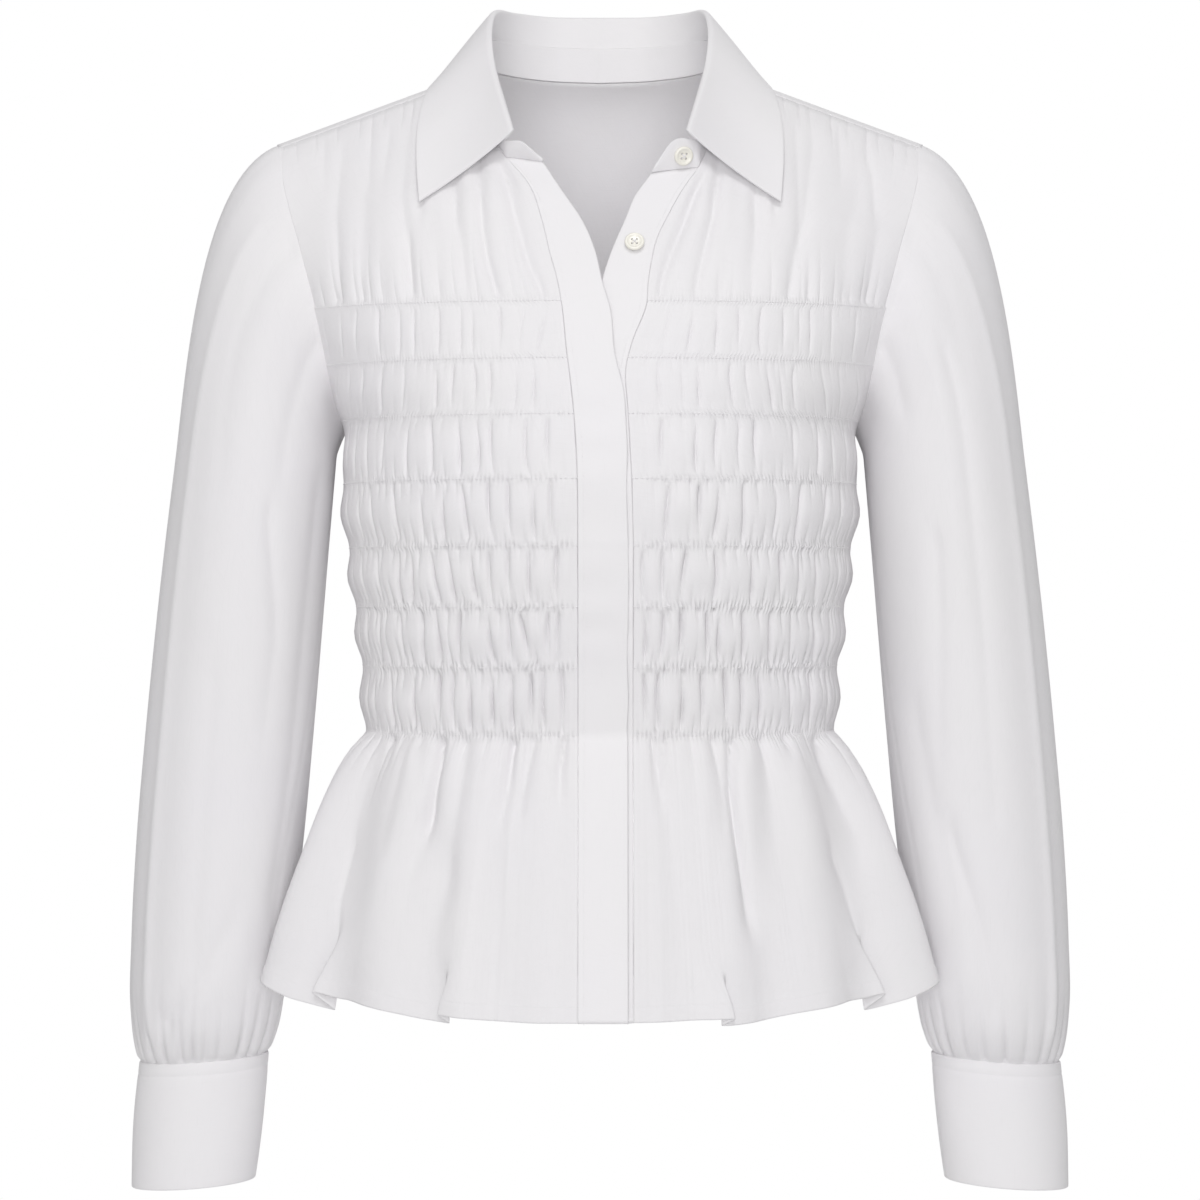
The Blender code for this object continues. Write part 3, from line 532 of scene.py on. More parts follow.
# %% A group for the plain weave
def new_group(name, inputs, outputs):
    """An empty shader group; inputs and outputs are label: (kind, start value) and label: kind."""
    group = bpy.data.node_groups.new(name, "ShaderNodeTree")
    for label, (kind, value) in inputs.items():
        socket = group.interface.new_socket(label, in_out="INPUT", socket_type="NodeSocket" + kind)
        if value is not None:
            socket.default_value = value
    for label, kind in outputs.items():
        group.interface.new_socket(label, in_out="OUTPUT", socket_type="NodeSocket" + kind)
    return group, group.nodes.new("NodeGroupInput").outputs, group.nodes.new("NodeGroupOutput").inputs


def maths(tree, operation, *values):
    """A math node; each value is a number or a socket."""
    return new_node(tree, "ShaderNodeMath", dict(enumerate(values)), operation=operation).outputs[0]


weave, given, made = new_group(
    "poplin weave", {"Map": ("Vector", None), "Yarn": ("Float", 0.0004)}, {"Height": "Float"}
)
apart = new_node(weave, "ShaderNodeSeparateXYZ", {0: given["Map"]})
across, up = (maths(weave, "DIVIDE", apart.outputs[i], given["Yarn"]) for i in (0, 1))
over_across, over_up = (
    maths(weave, "ABSOLUTE", maths(weave, "SINE", maths(weave, "MULTIPLY", way, math.pi)))
    for way in (across, up)
)
cells = maths(weave, "ADD", maths(weave, "FLOOR", across), maths(weave, "FLOOR", up))
warp_on_top = maths(weave, "FLOORED_MODULO", cells, 2.0)
warp = maths(weave, "MULTIPLY", over_across, warp_on_top)
weft = maths(weave, "MULTIPLY", over_up, maths(weave, "SUBTRACT", 1.0, warp_on_top))
weave.links.new(maths(weave, "ADD", warp, weft), made["Height"])
print("weave group nodes:", len(weave.nodes))

# %% [markdown]
# A slub is a yarn that stays thick for a centimetre or so. Noise that is stretched along
# the yarn and cut off above a level gives such short streaks, once along the warp and once
# along the weft.

# %% A group for slubs, the thicker stretches of yarn
MOST_SLUBS, SLUB_EDGE = 0.9, 3.0
WEFT_OFFSET = 7.3
slubs, given, made = new_group(
    "slub yarns",
    {
        "Map": ("Vector", None), "Yarn": ("Float", 0.0006), "Run": ("Float", 0.012),
        "How many": ("Float", 0.35),
    },
    {"Mask": "Float"},
)
masks = []
for lengthwise in (0, 1):
    pick = new_node(slubs, "ShaderNodeSeparateXYZ", {0: given["Map"]})
    thin = maths(slubs, "DIVIDE", pick.outputs[1 - lengthwise], given["Yarn"])
    long = maths(slubs, "DIVIDE", pick.outputs[lengthwise], given["Run"])
    place = new_node(slubs, "ShaderNodeCombineXYZ", {0: thin, 1: long, 2: WEFT_OFFSET * lengthwise})
    streaks = {"Scale": 1.0, "Detail": 1.0, "Vector": place.outputs[0]}
    noise = new_node(slubs, "ShaderNodeTexNoise", streaks).outputs["Fac"]
    rise = maths(slubs, "SUBTRACT", noise, maths(slubs, "SUBTRACT", MOST_SLUBS, given["How many"]))
    masks.append(maths(slubs, "MULTIPLY", maths(slubs, "MAXIMUM", rise, 0.0), SLUB_EDGE))
slubs.links.new(maths(slubs, "MINIMUM", maths(slubs, "ADD", *masks), 1.0), made["Mask"])
print("slub group nodes:", len(slubs.nodes))

# %% [markdown]
# Bleached cotton isn't one white. Wide, very faint clouds run from a cool white, the
# brightener in the finish, to a warmer one.

# %% A group for the clouds of white
clouds, given, made = new_group(
    "whites",
    {
        "Cool": ("Color", (0.838, 0.821, 0.848, 1)), "Warm": ("Color", (0.842, 0.83, 0.834, 1)),
        "Width": ("Float", 0.09),
    },
    {"Colour": "Color", "Mask": "Float"},
)
where = new_node(clouds, "ShaderNodeTexCoord")
spread_out = new_node(clouds, "ShaderNodeVectorMath", {0: where.outputs["Object"]}, operation="SCALE")
clouds.links.new(maths(clouds, "DIVIDE", 1.0, given["Width"]), spread_out.inputs["Scale"])
drifts = {"Scale": 1.0, "Detail": 3.0, "Vector": spread_out.outputs[0]}
cloud = new_node(clouds, "ShaderNodeTexNoise", drifts).outputs["Fac"]
two_whites = {"Factor": cloud, "A": given["Cool"], "B": given["Warm"]}
blend = new_node(clouds, "ShaderNodeMix", data_type="RGBA")
for label, value in two_whites.items():
    clouds.links.new(value, blend.inputs[label])
clouds.links.new(blend.outputs["Result"], made["Colour"])
clouds.links.new(cloud, made["Mask"])
print("whites group nodes:", len(clouds.nodes))

# %% [markdown]
# The three groups feed colour, roughness and bump. Body, collar and thread are the same
# white: what differs is how fine the yarn is, how many slubs it has, and how smoothly it
# is pressed. Sheen is the light that the short fibre ends catch at the edge of a fold.

# %% Cottons made from the three groups
SHEEN, SHEEN_ROUGHNESS, SHINE = 0.12, 0.6, 0.3
SLUB_YARN, SLUB_TINT, SLUB_RISE = 1.6, 0.35, 0.8
CLOUD_ROUGHNESS = 0.1
YARN_RELIEF = 0.0001


def use(tree, group, **values):
    """Place a group in a material; each value is a number, a colour or a socket."""
    placed_group = new_node(tree, "ShaderNodeGroup", node_tree=group)
    for label, value in values.items():
        socket = placed_group.inputs[label.replace("_", " ")]
        if isinstance(value, bpy.types.NodeSocket):
            tree.links.new(value, socket)
        else:
            socket.default_value = value
    return placed_group.outputs


def new_finish(name, constants):
    """A material with its constants set on its shader's own sockets."""
    finish = bpy.data.materials.new(name)
    finish.use_nodes = True
    shader = finish.node_tree.nodes["Principled BSDF"]
    for label, value in constants.items():
        shader.inputs[label].default_value = value
    return finish, finish.node_tree, shader.inputs


def bumped(tree, shader_inputs, height, strength, distance):
    """Let a height roughen the surface."""
    relief = new_node(tree, "ShaderNodeBump", {"Strength": strength, "Distance": distance})
    tree.links.new(height, relief.inputs["Height"])
    tree.links.new(relief.outputs[0], shader_inputs["Normal"])


def cotton(name, yarn, slub_run, how_many, bump, roughness):
    """Poplin with its own yarn and slubs; the crisper pieces have fewer slubs."""
    constants = {
        "Sheen Weight": SHEEN, "Sheen Roughness": SHEEN_ROUGHNESS, "Specular IOR Level": SHINE,
    }
    cloth, tree, shader_inputs = new_finish(name, constants)
    cloth_map = new_node(tree, "ShaderNodeUVMap", uv_map="cloth map").outputs[0]
    yarns = use(tree, weave, Map=cloth_map, Yarn=yarn)
    slub = use(tree, slubs, Map=cloth_map, Yarn=SLUB_YARN * yarn, Run=slub_run, How_many=how_many)
    white = use(tree, clouds)
    darker = new_node(tree, "ShaderNodeMix", data_type="RGBA", blend_type="MULTIPLY")
    tree.links.new(maths(tree, "MULTIPLY", slub["Mask"], SLUB_TINT), darker.inputs["Factor"])
    tree.links.new(white["Colour"], darker.inputs["A"])
    darker.inputs["B"].default_value = (0.93, 0.93, 0.93, 1)
    tree.links.new(darker.outputs["Result"], shader_inputs["Base Color"])
    dull = maths(tree, "MULTIPLY_ADD", white["Mask"], CLOUD_ROUGHNESS, roughness)
    tree.links.new(dull, shader_inputs["Roughness"])
    height = maths(tree, "MULTIPLY_ADD", slub["Mask"], SLUB_RISE, yarns["Height"])
    bumped(tree, shader_inputs, height, bump, YARN_RELIEF)
    return cloth


# yarn and slub length in metres, share of slubs, bump, roughness
BODY_COTTON = cotton("body cotton", 0.00042, 0.014, 0.36, 0.5, 0.78)
CRISP_COTTON = cotton("collar and cuff cotton", 0.00042, 0.010, 0.30, 0.35, 0.7)
SEWING_THREAD = cotton("sewing thread", 0.0002, 0.002, 0.4, 0.6, 0.6)
print("cottons:", BODY_COTTON.name, CRISP_COTTON.name, SEWING_THREAD.name)

# %% [markdown]
# ## From a grid of points to cloth
#
# Each cut piece is a grid: columns follow the warp and rows the weft. A grid is easy to
# shape by rule, because a crease is only a place where the rows dip. The finished grid
# becomes a mesh with a map in metres, and a Solidify modifier gives it the thickness of
# the cloth on its inner side.

# %% Helpers for grids of cloth
CLOTH_WALL = 0.45


def run_lengths(points, axis):
    """Distances along the rows (axis 1) or columns (axis 0) of a grid."""
    steps = np.linalg.norm(np.diff(points, axis=axis), axis=-1)
    start = np.zeros_like(np.take(steps, [0], axis=axis))
    return np.concatenate([start, np.cumsum(steps, axis=axis)], axis=axis)


def facing(points, way):
    """Unit normals of a grid; way is 1 or -1, whichever makes them point out."""
    return unit(np.cross(np.gradient(points, axis=1), np.gradient(points, axis=0))) * way


def cloth_mesh(name, grid, wall, cotton_kind, closed=False, flip=False):
    """A grid in millimetres as a solid piece of cloth; a point that is NaN has no cloth."""
    grid = np.asarray(grid, float)
    rows, columns = grid.shape[:2]
    looped = np.concatenate([grid, grid[:, :1]], axis=1) if closed else grid
    filled = np.where(np.isnan(looped), 0, looped)
    u_map, v_map = run_lengths(filled, 1) * MM, run_lengths(filled, 0) * MM
    span = columns if closed else columns - 1
    r, c = np.meshgrid(np.arange(rows - 1), np.arange(span), indexing="ij")
    corners = [(r, c), (r + 1, c), (r + 1, c + 1), (r, c + 1)]
    if flip:
        corners = corners[::-1]
    faces = np.stack([a * columns + b % columns for a, b in corners], -1).reshape(-1, 4)
    maps = np.stack([np.stack([u_map[a, b], v_map[a, b]], -1) for a, b in corners], 2).reshape(-1, 4, 2)
    points = grid.reshape(-1, 3)
    whole = ~np.isnan(points[faces]).any(axis=(1, 2))
    faces, maps = faces[whole], maps[whole]
    used, faces = np.unique(faces, return_inverse=True)
    faces = faces.reshape(-1, 4)
    mesh = bpy.data.meshes.new(name)
    mesh.from_pydata((points[used] * MM).tolist(), [], faces.tolist())
    mesh.uv_layers.new(name="cloth map").data.foreach_set("uv", maps.ravel())
    mesh.shade_smooth()
    mesh.materials.append(cotton_kind)
    thing = placed(name, mesh)
    if wall:
        thickness = thing.modifiers.new("cloth thickness", "SOLIDIFY")
        thickness.thickness = wall * MM
        thickness.offset = -1.0
    triangles = 2 * len(faces) * (2 if wall else 1)
    area = sum(face.area for face in mesh.polygons)
    print(f"{name}: about {triangles} triangles, {area:.4f} square metres of cloth")
    return thing


def belongs(piece, node):
    """Every piece stays on the shirt and stands for one solid of the model."""
    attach(piece, "root")
    if node:
        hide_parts(node)


# %% [markdown]
# ## Shirring
#
# Elastic thread is sewn flat onto a panel that is cut about a third too wide. When it
# springs back, the cloth is gathered into tiny puckers a couple of millimetres apart on
# the row itself. Between two rows the puckers run together into a few soft pillows with
# sharp valleys between them. Both are made here as height over the smooth body.

# %% Puckers on the elastic rows
PUCKER_HEIGHT, RIDGE = 1.2, 0.3
LEAST_PUCKER, MOST_PUCKER = 0.35, 1.5
ROW_FIRMNESS = (0.35, 0.4, 0.45, 0.7, 0.9, 1.15, 1.25, 1.2)
# a higher pucker reaches further from its row
PUCKER_REACH, REACH_OF_FLAT, REACH_OF_HIGH = 2.2, 0.8, 0.35
COLUMNS_A_PUCKER = 4
ROW_LIFT, ROW_LIFT_REACH = 0.25, 3.6
NARROW = 0.6


def from_elastic(height):
    """The distance to the nearest elastic row."""
    return np.min(np.abs(np.asarray(height)[..., None] - np.array(ELASTIC_ROWS)), axis=-1)


def puckers(rng, heights, columns):
    """Tiny folds on every elastic row, four columns each and all a little different."""
    near = from_elastic(heights)[:, None]
    nearest = np.argmin(np.abs(heights[:, None] - np.array(ELASTIC_ROWS)), axis=1)
    count = columns // COLUMNS_A_PUCKER + 2
    size = rng.uniform(LEAST_PUCKER, MOST_PUCKER, (len(ELASTIC_ROWS), count))
    size *= np.array(ROW_FIRMNESS)[:, None]
    each = np.arange(columns) / COLUMNS_A_PUCKER
    height = np.stack([np.interp(each, np.arange(count), row) for row in size])[nearest]
    from_valley = np.abs(each - np.round(each)) * COLUMNS_A_PUCKER
    wave = RIDGE - (1 + RIDGE) * np.exp(-((from_valley / NARROW) ** 2))[None, :]
    reach = PUCKER_REACH * (REACH_OF_FLAT + REACH_OF_HIGH * height)
    lift = ROW_LIFT * np.exp(-((near / ROW_LIFT_REACH) ** 2))
    return lift + PUCKER_HEIGHT * height * wave * np.exp(-((near / reach) ** 2))


print("how firmly each row is drawn up:", dict(zip(ELASTIC_ROWS, ROW_FIRMNESS)))

# %% [markdown]
# Away from the elastic the cloth springs back, and the small puckers join into wide ones.
# A crown is rounder than a wave and a valley is narrower, because the cloth presses against
# itself there. So a crown rises with the width of its pillow, up to a limit, and a valley
# falls away steeply from a sharp middle.

# %% Pillows between two rows
PILLOW_RISE, PILLOW_LIMIT, PILLOW_ROUNDNESS = 0.1, 1.6, 0.7
VALLEY_DEPTH, VALLEY_HALF_WIDTH = 3.3, 1.0


def pillows(share, arcs, places, strengths, swell, deepen, half_width=VALLEY_HALF_WIDTH):
    """Height along one level: crowns between the places, sharp valleys at them."""
    at = np.interp(places, share, arcs)
    cell = np.clip(np.searchsorted(at, arcs) - 1, 0, len(at) - 2)
    width = np.maximum(at[cell + 1] - at[cell], 1e-3)
    f = np.clip((arcs - at[cell]) / width, 0, 1)
    firm = (strengths[cell] + strengths[cell + 1]) / 2
    dome = np.clip(4 * f * (1 - f), 0, 1) ** PILLOW_ROUNDNESS
    crown = np.minimum(PILLOW_RISE * width, PILLOW_LIMIT) * dome * firm
    gap = np.abs(arcs[:, None] - at[None, :])
    valley = (strengths[None, :] * np.exp(-gap / half_width)).max(axis=1)
    return swell * crown - deepen * VALLEY_DEPTH * valley


def uneven_places(rng, low, high, least, most):
    """Places from low to high, unevenly far apart."""
    places = [low]
    while places[-1] + most < high:
        places.append(places[-1] + rng.uniform(least, most))
    return places[1:]


print("a pillow 10 mm wide rises", PILLOW_RISE * 10, "mm between valleys", VALLEY_DEPTH, "mm deep")

# %% [markdown]
# The valleys of the two fronts are listed, one list for each band between two
# elastic rows: the distance from the middle of the body where a valley leaves the upper
# row, where it meets the lower one, and how deep it is. Wide gaps get one fainter valley,
# and the lists carry on round the side with uneven ones.

# %% Valleys of the fronts
VALLEYS = {
    "right": (
        ((29, 37, 0.8), (58, 58, 1), (73, 73, 0.8), (80, 80, 0.9), (93, 93, 1), (107, 107, 0.9),
         (116, 116, 0.8), (128, 127, 1), (141, 141, 0.7), (151, 150, 0.8)),
        ((38, 39, 0.9), (64, 64, 1), (73, 73, 0.9), (84, 85, 0.9), (94, 95, 1), (126, 127, 0.8)),
        ((19, 19, 0.8), (29, 29, 0.9), (41, 41, 0.9), (61, 61, 1), (70, 70, 0.9), (80, 80, 1),
         (96, 97, 0.9)),
        ((28, 26, 0.8), (37, 37, 1), (52, 50, 0.9), (64, 61, 0.9), (80, 75, 1), (89, 89, 0.9),
         (121, 116, 0.8)),
        ((24, 24, 0.9), (40, 40, 1), (52, 51, 0.8), (64, 62, 0.9), (74, 70, 1), (88, 83, 0.9),
         (98, 92, 1), (109, 109, 0.8), (116, 116, 0.9)),
        ((23, 23, 0.8), (29, 29, 0.8), (47, 39, 1), (53, 51, 0.8), (64, 61, 0.9), (68, 68, 0.6),
         (80, 80, 1), (96, 92, 0.9), (103, 103, 0.8)),
        ((22, 22, 0.7), (32, 32, 0.9), (40, 40, 1.15), (50, 50, 0.9), (62, 62, 1), (75, 75, 0.9),
         (84, 84, 0.8), (94, 94, 1.15), (108, 108, 0.9)),
    ),
    "left": (
        ((28, 24, 0.8), (53, 49, 1), (66, 66, 0.9), (79, 79, 0.9), (93, 93, 1), (105, 105, 0.8),
         (121, 121, 0.9), (150, 147, 0.8)),
        ((34, 35, 0.7), (57, 57, 1), (75, 77, 0.9), (95, 100, 1), (113, 113, 0.8)),
        ((22, 22, 0.8), (35, 35, 0.9), (55, 55, 1), (66, 66, 0.9), (88, 90, 1), (124, 126, 0.9)),
        ((40, 37, 0.9), (57, 57, 1.2), (68, 64, 0.9), (82, 82, 1), (117, 113, 0.9)),
        ((25, 25, 0.8), (36, 36, 0.9), (50, 46, 1), (65, 65, 0.9), (73, 69, 1), (87, 87, 0.9),
         (104, 104, 1), (125, 125, 0.8)),
        ((25, 25, 0.8), (36, 33, 0.9), (46, 44, 1), (61, 61, 0.9), (69, 69, 0.9), (82, 82, 1),
         (99, 99, 0.9), (125, 125, 1)),
        ((25, 25, 0.8), (34, 34, 0.9), (46, 46, 1), (58, 58, 0.9), (72, 72, 1), (82, 82, 0.9),
         (92, 92, 0.8), (123, 123, 1)),
    ),
}
print("valleys placed by hand:", sum(len(band) for side in VALLEYS.values() for band in side))

# %% [markdown]
# Gathered cloth never leaves a wide flat gap, and two valleys never run side by side. So
# the lists are filled up and thinned out by rule, and each valley then leans and bends a
# little by chance. The back has no list: all its valleys are placed by chance.

# %% Fill and order the valleys
# distances in millimetres, then depths
WIDE_GAP, LEAST_GAP = 17.0, 3.5
FAINT, AT_BAND, AT_SEAM = 0.45, 0.6, 0.7
LAST_PLACE = 0.97
# round the side: how far apart, how far off plumb, how deep
SIDE_APART, SIDE_LEAN, SIDE_DEPTHS = (12, 20), 2, (0.35, 0.8)
BACK_APART, BACK_LEAN, BACK_DEPTHS, AT_MIDDLE = (8, 15), 2.5, (0.5, 1.1), 0.8
MOST_LEAN, MOST_BEND = 1.6, 1.3
# the cloth is fuller lower down, so each band's valleys are firmer than the ones above
BAND_FIRMNESS = (0.45, 0.55, 0.75, 0.95, 1.05, 1.2, 1.15)


def front_columns(side, x, height):
    """Shares across a front panel at which it is x from the middle of the body."""
    start, end = front_angles(side, np.full_like(np.asarray(x, float), height))
    angle = angle_at(np.asarray(x, float), body_half_width(np.full_like(start, height)))
    return (angle - start) / (end - start)


def well_apart(rng, rows, panel_width):
    """Valleys in order, without any that would run into the one before. Each also gets a
    lean, which is below zero where it is deepest at its top, and a bend."""
    kept = [rows[0]]
    for row in rows[1:]:
        if min(row[0] - kept[-1][0], row[1] - kept[-1][1]) * panel_width > LEAST_GAP:
            kept.append(row)
    kept[-1] = (1.0, 1.0, kept[-1][2])
    lean = rng.uniform(-MOST_LEAN, MOST_LEAN, len(kept))
    bend = rng.uniform(-MOST_BEND, MOST_BEND, len(kept)) / panel_width
    bend[[0, -1]] = 0
    return np.vstack([np.array(kept).T, lean, bend])


def valley_places(top, foot, bend, t):
    """Where the valleys of a band lie at a share of the way down it."""
    return top + (foot - top) * t + bend * math.sin(math.pi * t)


def front_valleys(rng, side, band, panel_width):
    """Shares at the upper and lower row, and depths, from the band's seam to the side."""
    upper, lower = ELASTIC_ROWS[band], ELASTIC_ROWS[band + 1]
    listed = VALLEYS[side][band]
    top = front_columns(side, [row[0] for row in listed], upper)
    foot = front_columns(side, [row[1] for row in listed], lower)
    depth = [row[2] for row in listed]
    found = [(0.0, 0.0, AT_BAND), *zip(top, foot, depth)]
    found = [row for row in found if max(row[:2]) < LAST_PLACE]
    filled = [found[0]]
    for row in found[1:]:
        gap = (row[0] - filled[-1][0]) * panel_width
        if gap > WIDE_GAP:
            part = rng.uniform(0.4, 0.6)
            filled.append(tuple(a + (b - a) * part for a, b in zip(filled[-1], row))[:2] + (FAINT,))
        filled.append(row)
    last = max(filled[-1][:2])
    for place in uneven_places(rng, last, 1.0, *(np.array(SIDE_APART) / panel_width)):
        lean = rng.uniform(-SIDE_LEAN, SIDE_LEAN) / panel_width
        filled.append((place - lean, place + lean, rng.uniform(*SIDE_DEPTHS)))
    return well_apart(rng, [*filled, (1.0, 1.0, AT_SEAM)], panel_width)


def back_valleys(rng, panel_width):
    """The same for half the back, where every valley is placed unevenly."""
    places = uneven_places(rng, 0.0, 1.0, *(np.array(BACK_APART) / panel_width))
    lean = rng.uniform(-BACK_LEAN, BACK_LEAN, len(places)) / panel_width
    depths = rng.uniform(*BACK_DEPTHS, len(places))
    rows = [(place - off, place + off, depth) for place, off, depth in zip(places, lean, depths)]
    return well_apart(rng, [(0.0, 0.0, AT_MIDDLE), *rows, (1.0, 1.0, AT_SEAM)], panel_width)


print("on the back the valleys lie about", sum(BACK_APART) / 2, "mm apart")

# %% [markdown]
# A grid shows a sharp valley cleanly only when one of its columns runs down it. So the
# columns, which stand evenly on the elastic, slide a little to the nearest valley between
# two rows. Then the pillows and valleys of every band are laid over them.

# %% Lay the valleys over a grid
SETTLE_REACH = 4.5
VALLEY_ONSET, VALLEY_CLEAR = 6.0, 1.2
SWELL_ROUNDNESS, FIRMEST = 1.4, 1.3


def settled(share, heights, valleys):
    """Columns slide until one runs down every valley; on the elastic they stand evenly."""
    shares = np.repeat(share[None, :], len(heights), axis=0)
    for band, (top, foot, _, _, bend) in enumerate(valleys):
        upper, lower = ELASTIC_ROWS[band], ELASTIC_ROWS[band + 1]
        column = np.round((top + foot) / 2 * (len(share) - 1))
        for r in np.flatnonzero((heights < upper) & (heights > lower)):
            t = (upper - heights[r]) / (upper - lower)
            goal = np.interp(np.arange(len(share)), column, valley_places(top, foot, bend, t))
            firm = ease(min(upper - heights[r], heights[r] - lower) / SETTLE_REACH)
            shares[r] += (goal - share) * firm
    return np.clip(shares, share[0], share[-1])


def band_relief(shares, arcs, heights, valleys):
    """Pillows on every row of the grid that lies between two elastic rows."""
    relief = np.zeros_like(arcs)
    for r, height in enumerate(heights):
        for band, (top, foot, depth, lean, bend) in enumerate(valleys):
            upper, lower = ELASTIC_ROWS[band], ELASTIC_ROWS[band + 1]
            if lower < height < upper:
                t = (upper - height) / (upper - lower)
                places = valley_places(top, foot, bend, t)
                firm = BAND_FIRMNESS[band] * depth * np.clip(1 + lean * (2 * t - 1), 0, FIRMEST)
                swell = math.sin(math.pi * t) ** SWELL_ROUNDNESS
                deepen = ease((min(upper - height, height - lower) - VALLEY_CLEAR) / VALLEY_ONSET)
                relief[r] = pillows(shares[r], arcs[r], places, firm, swell, deepen)
    return relief


print("columns come back to their even places within", SETTLE_REACH, "mm of the elastic")

# %% [markdown]
# Above the first row and below the last one the gathers are let go. Each fades out after a
# few centimetres, some sooner than others, and here and there a long soft crease carries on.

# %% Gathers that fade, and long creases
GATHERS_APART, GATHER_HALF_WIDTH, LEAST_REACH = (5, 13), 1.4, 5
FOLD_REACH, FOLD_DEPTH, FOLDS_APART, FOLD_HALF_WIDTH = 7, 0.9, (4, 10), 1.0
SIDE_CALM, CALM_FROM, CALM_OVER = 0.6, 0.55, 0.35
# how much wider than listed the long creases lie
CHEST_SOFTNESS, PEPLUM_SOFTNESS = 1.35, 2.1


def fading_gathers(
    rng, shares, arcs, away, panel_width, most_reach, firm,
    apart=GATHERS_APART, half_width=GATHER_HALF_WIDTH,
):
    """Valleys that start at an elastic row and fade with the distance away from it."""
    places = [0.0, *uneven_places(rng, 0.0, 1.0, *(np.array(apart) / panel_width)), 1.0]
    at = np.array(places)
    reach = rng.uniform(0.1, 1.0, len(at)) ** 2 * most_reach + LEAST_REACH
    relief = np.zeros_like(arcs)
    for r, distance in enumerate(away):
        if distance <= 0 or distance > 3 * most_reach:
            continue
        depth = np.exp(-((distance / reach) ** 1.5))
        grow = 1 - math.exp(-distance / 4)
        swell = grow * math.exp(-distance / (1.6 * most_reach))
        relief[r] = firm * pillows(shares[r], arcs[r], at, depth, swell, swell**0.5, half_width)
    return relief


def creases(x, z, listed, wider=1.0):
    """Soft troughs along listed lines; each has its depths and half widths at both
    ends, then its points as (x, z) in order. A negative depth is a ridge."""
    relief = np.zeros_like(x)
    for depths, widths, points in listed:
        line = np.array(sorted(points, key=lambda point: point[1]), float)
        ends_swapped = points[0][1] > points[-1][1]
        low_depth, high_depth = depths[::-1] if ends_swapped else depths
        low_width, high_width = widths[::-1] if ends_swapped else widths
        low, high = line[0, 1], line[-1, 1]
        t = np.clip((z - low) / max(high - low, 1), 0, 1)
        off = x - np.interp(z, line[:, 1], line[:, 0])
        width = wider * (low_width + (high_width - low_width) * t)
        depth = low_depth + (high_depth - low_depth) * t
        ends = np.exp(-(np.clip(np.maximum(low - z, z - high), 0, None) / (1.5 * width + 3)) ** 2)
        narrow = np.exp(0.32 - np.sqrt((off / width) ** 2 + 0.1))
        trough = 1.5 * narrow - 0.5 * np.exp(-((off / (2.6 * width)) ** 2))
        relief -= depth * trough * ends
    return relief


def small_folds(rng, shares, arcs, level, panel_width):
    """Short folds that leave each elastic row into the band above and the band below it."""
    relief = np.zeros_like(arcs)
    for band, (upper, lower) in enumerate(zip(ELASTIC_ROWS, ELASTIC_ROWS[1:])):
        inside = (level < upper) & (level > lower)
        for away in (upper - level, level - lower):
            near = np.where(inside, away, 0)
            fold = fading_gathers(
                rng, shares, arcs, near, panel_width, FOLD_REACH, FOLD_DEPTH, FOLDS_APART, FOLD_HALF_WIDTH
            )
            relief += BAND_FIRMNESS[band] ** 2 * fold
    return relief


def calm_at_sides(shares):
    """The gathers are let out a little toward the side seams."""
    return 1 - SIDE_CALM * ease((shares - CALM_FROM) / CALM_OVER)


print("small folds beside the elastic fade over", LEAST_REACH, "to", LEAST_REACH + FOLD_REACH, "mm")
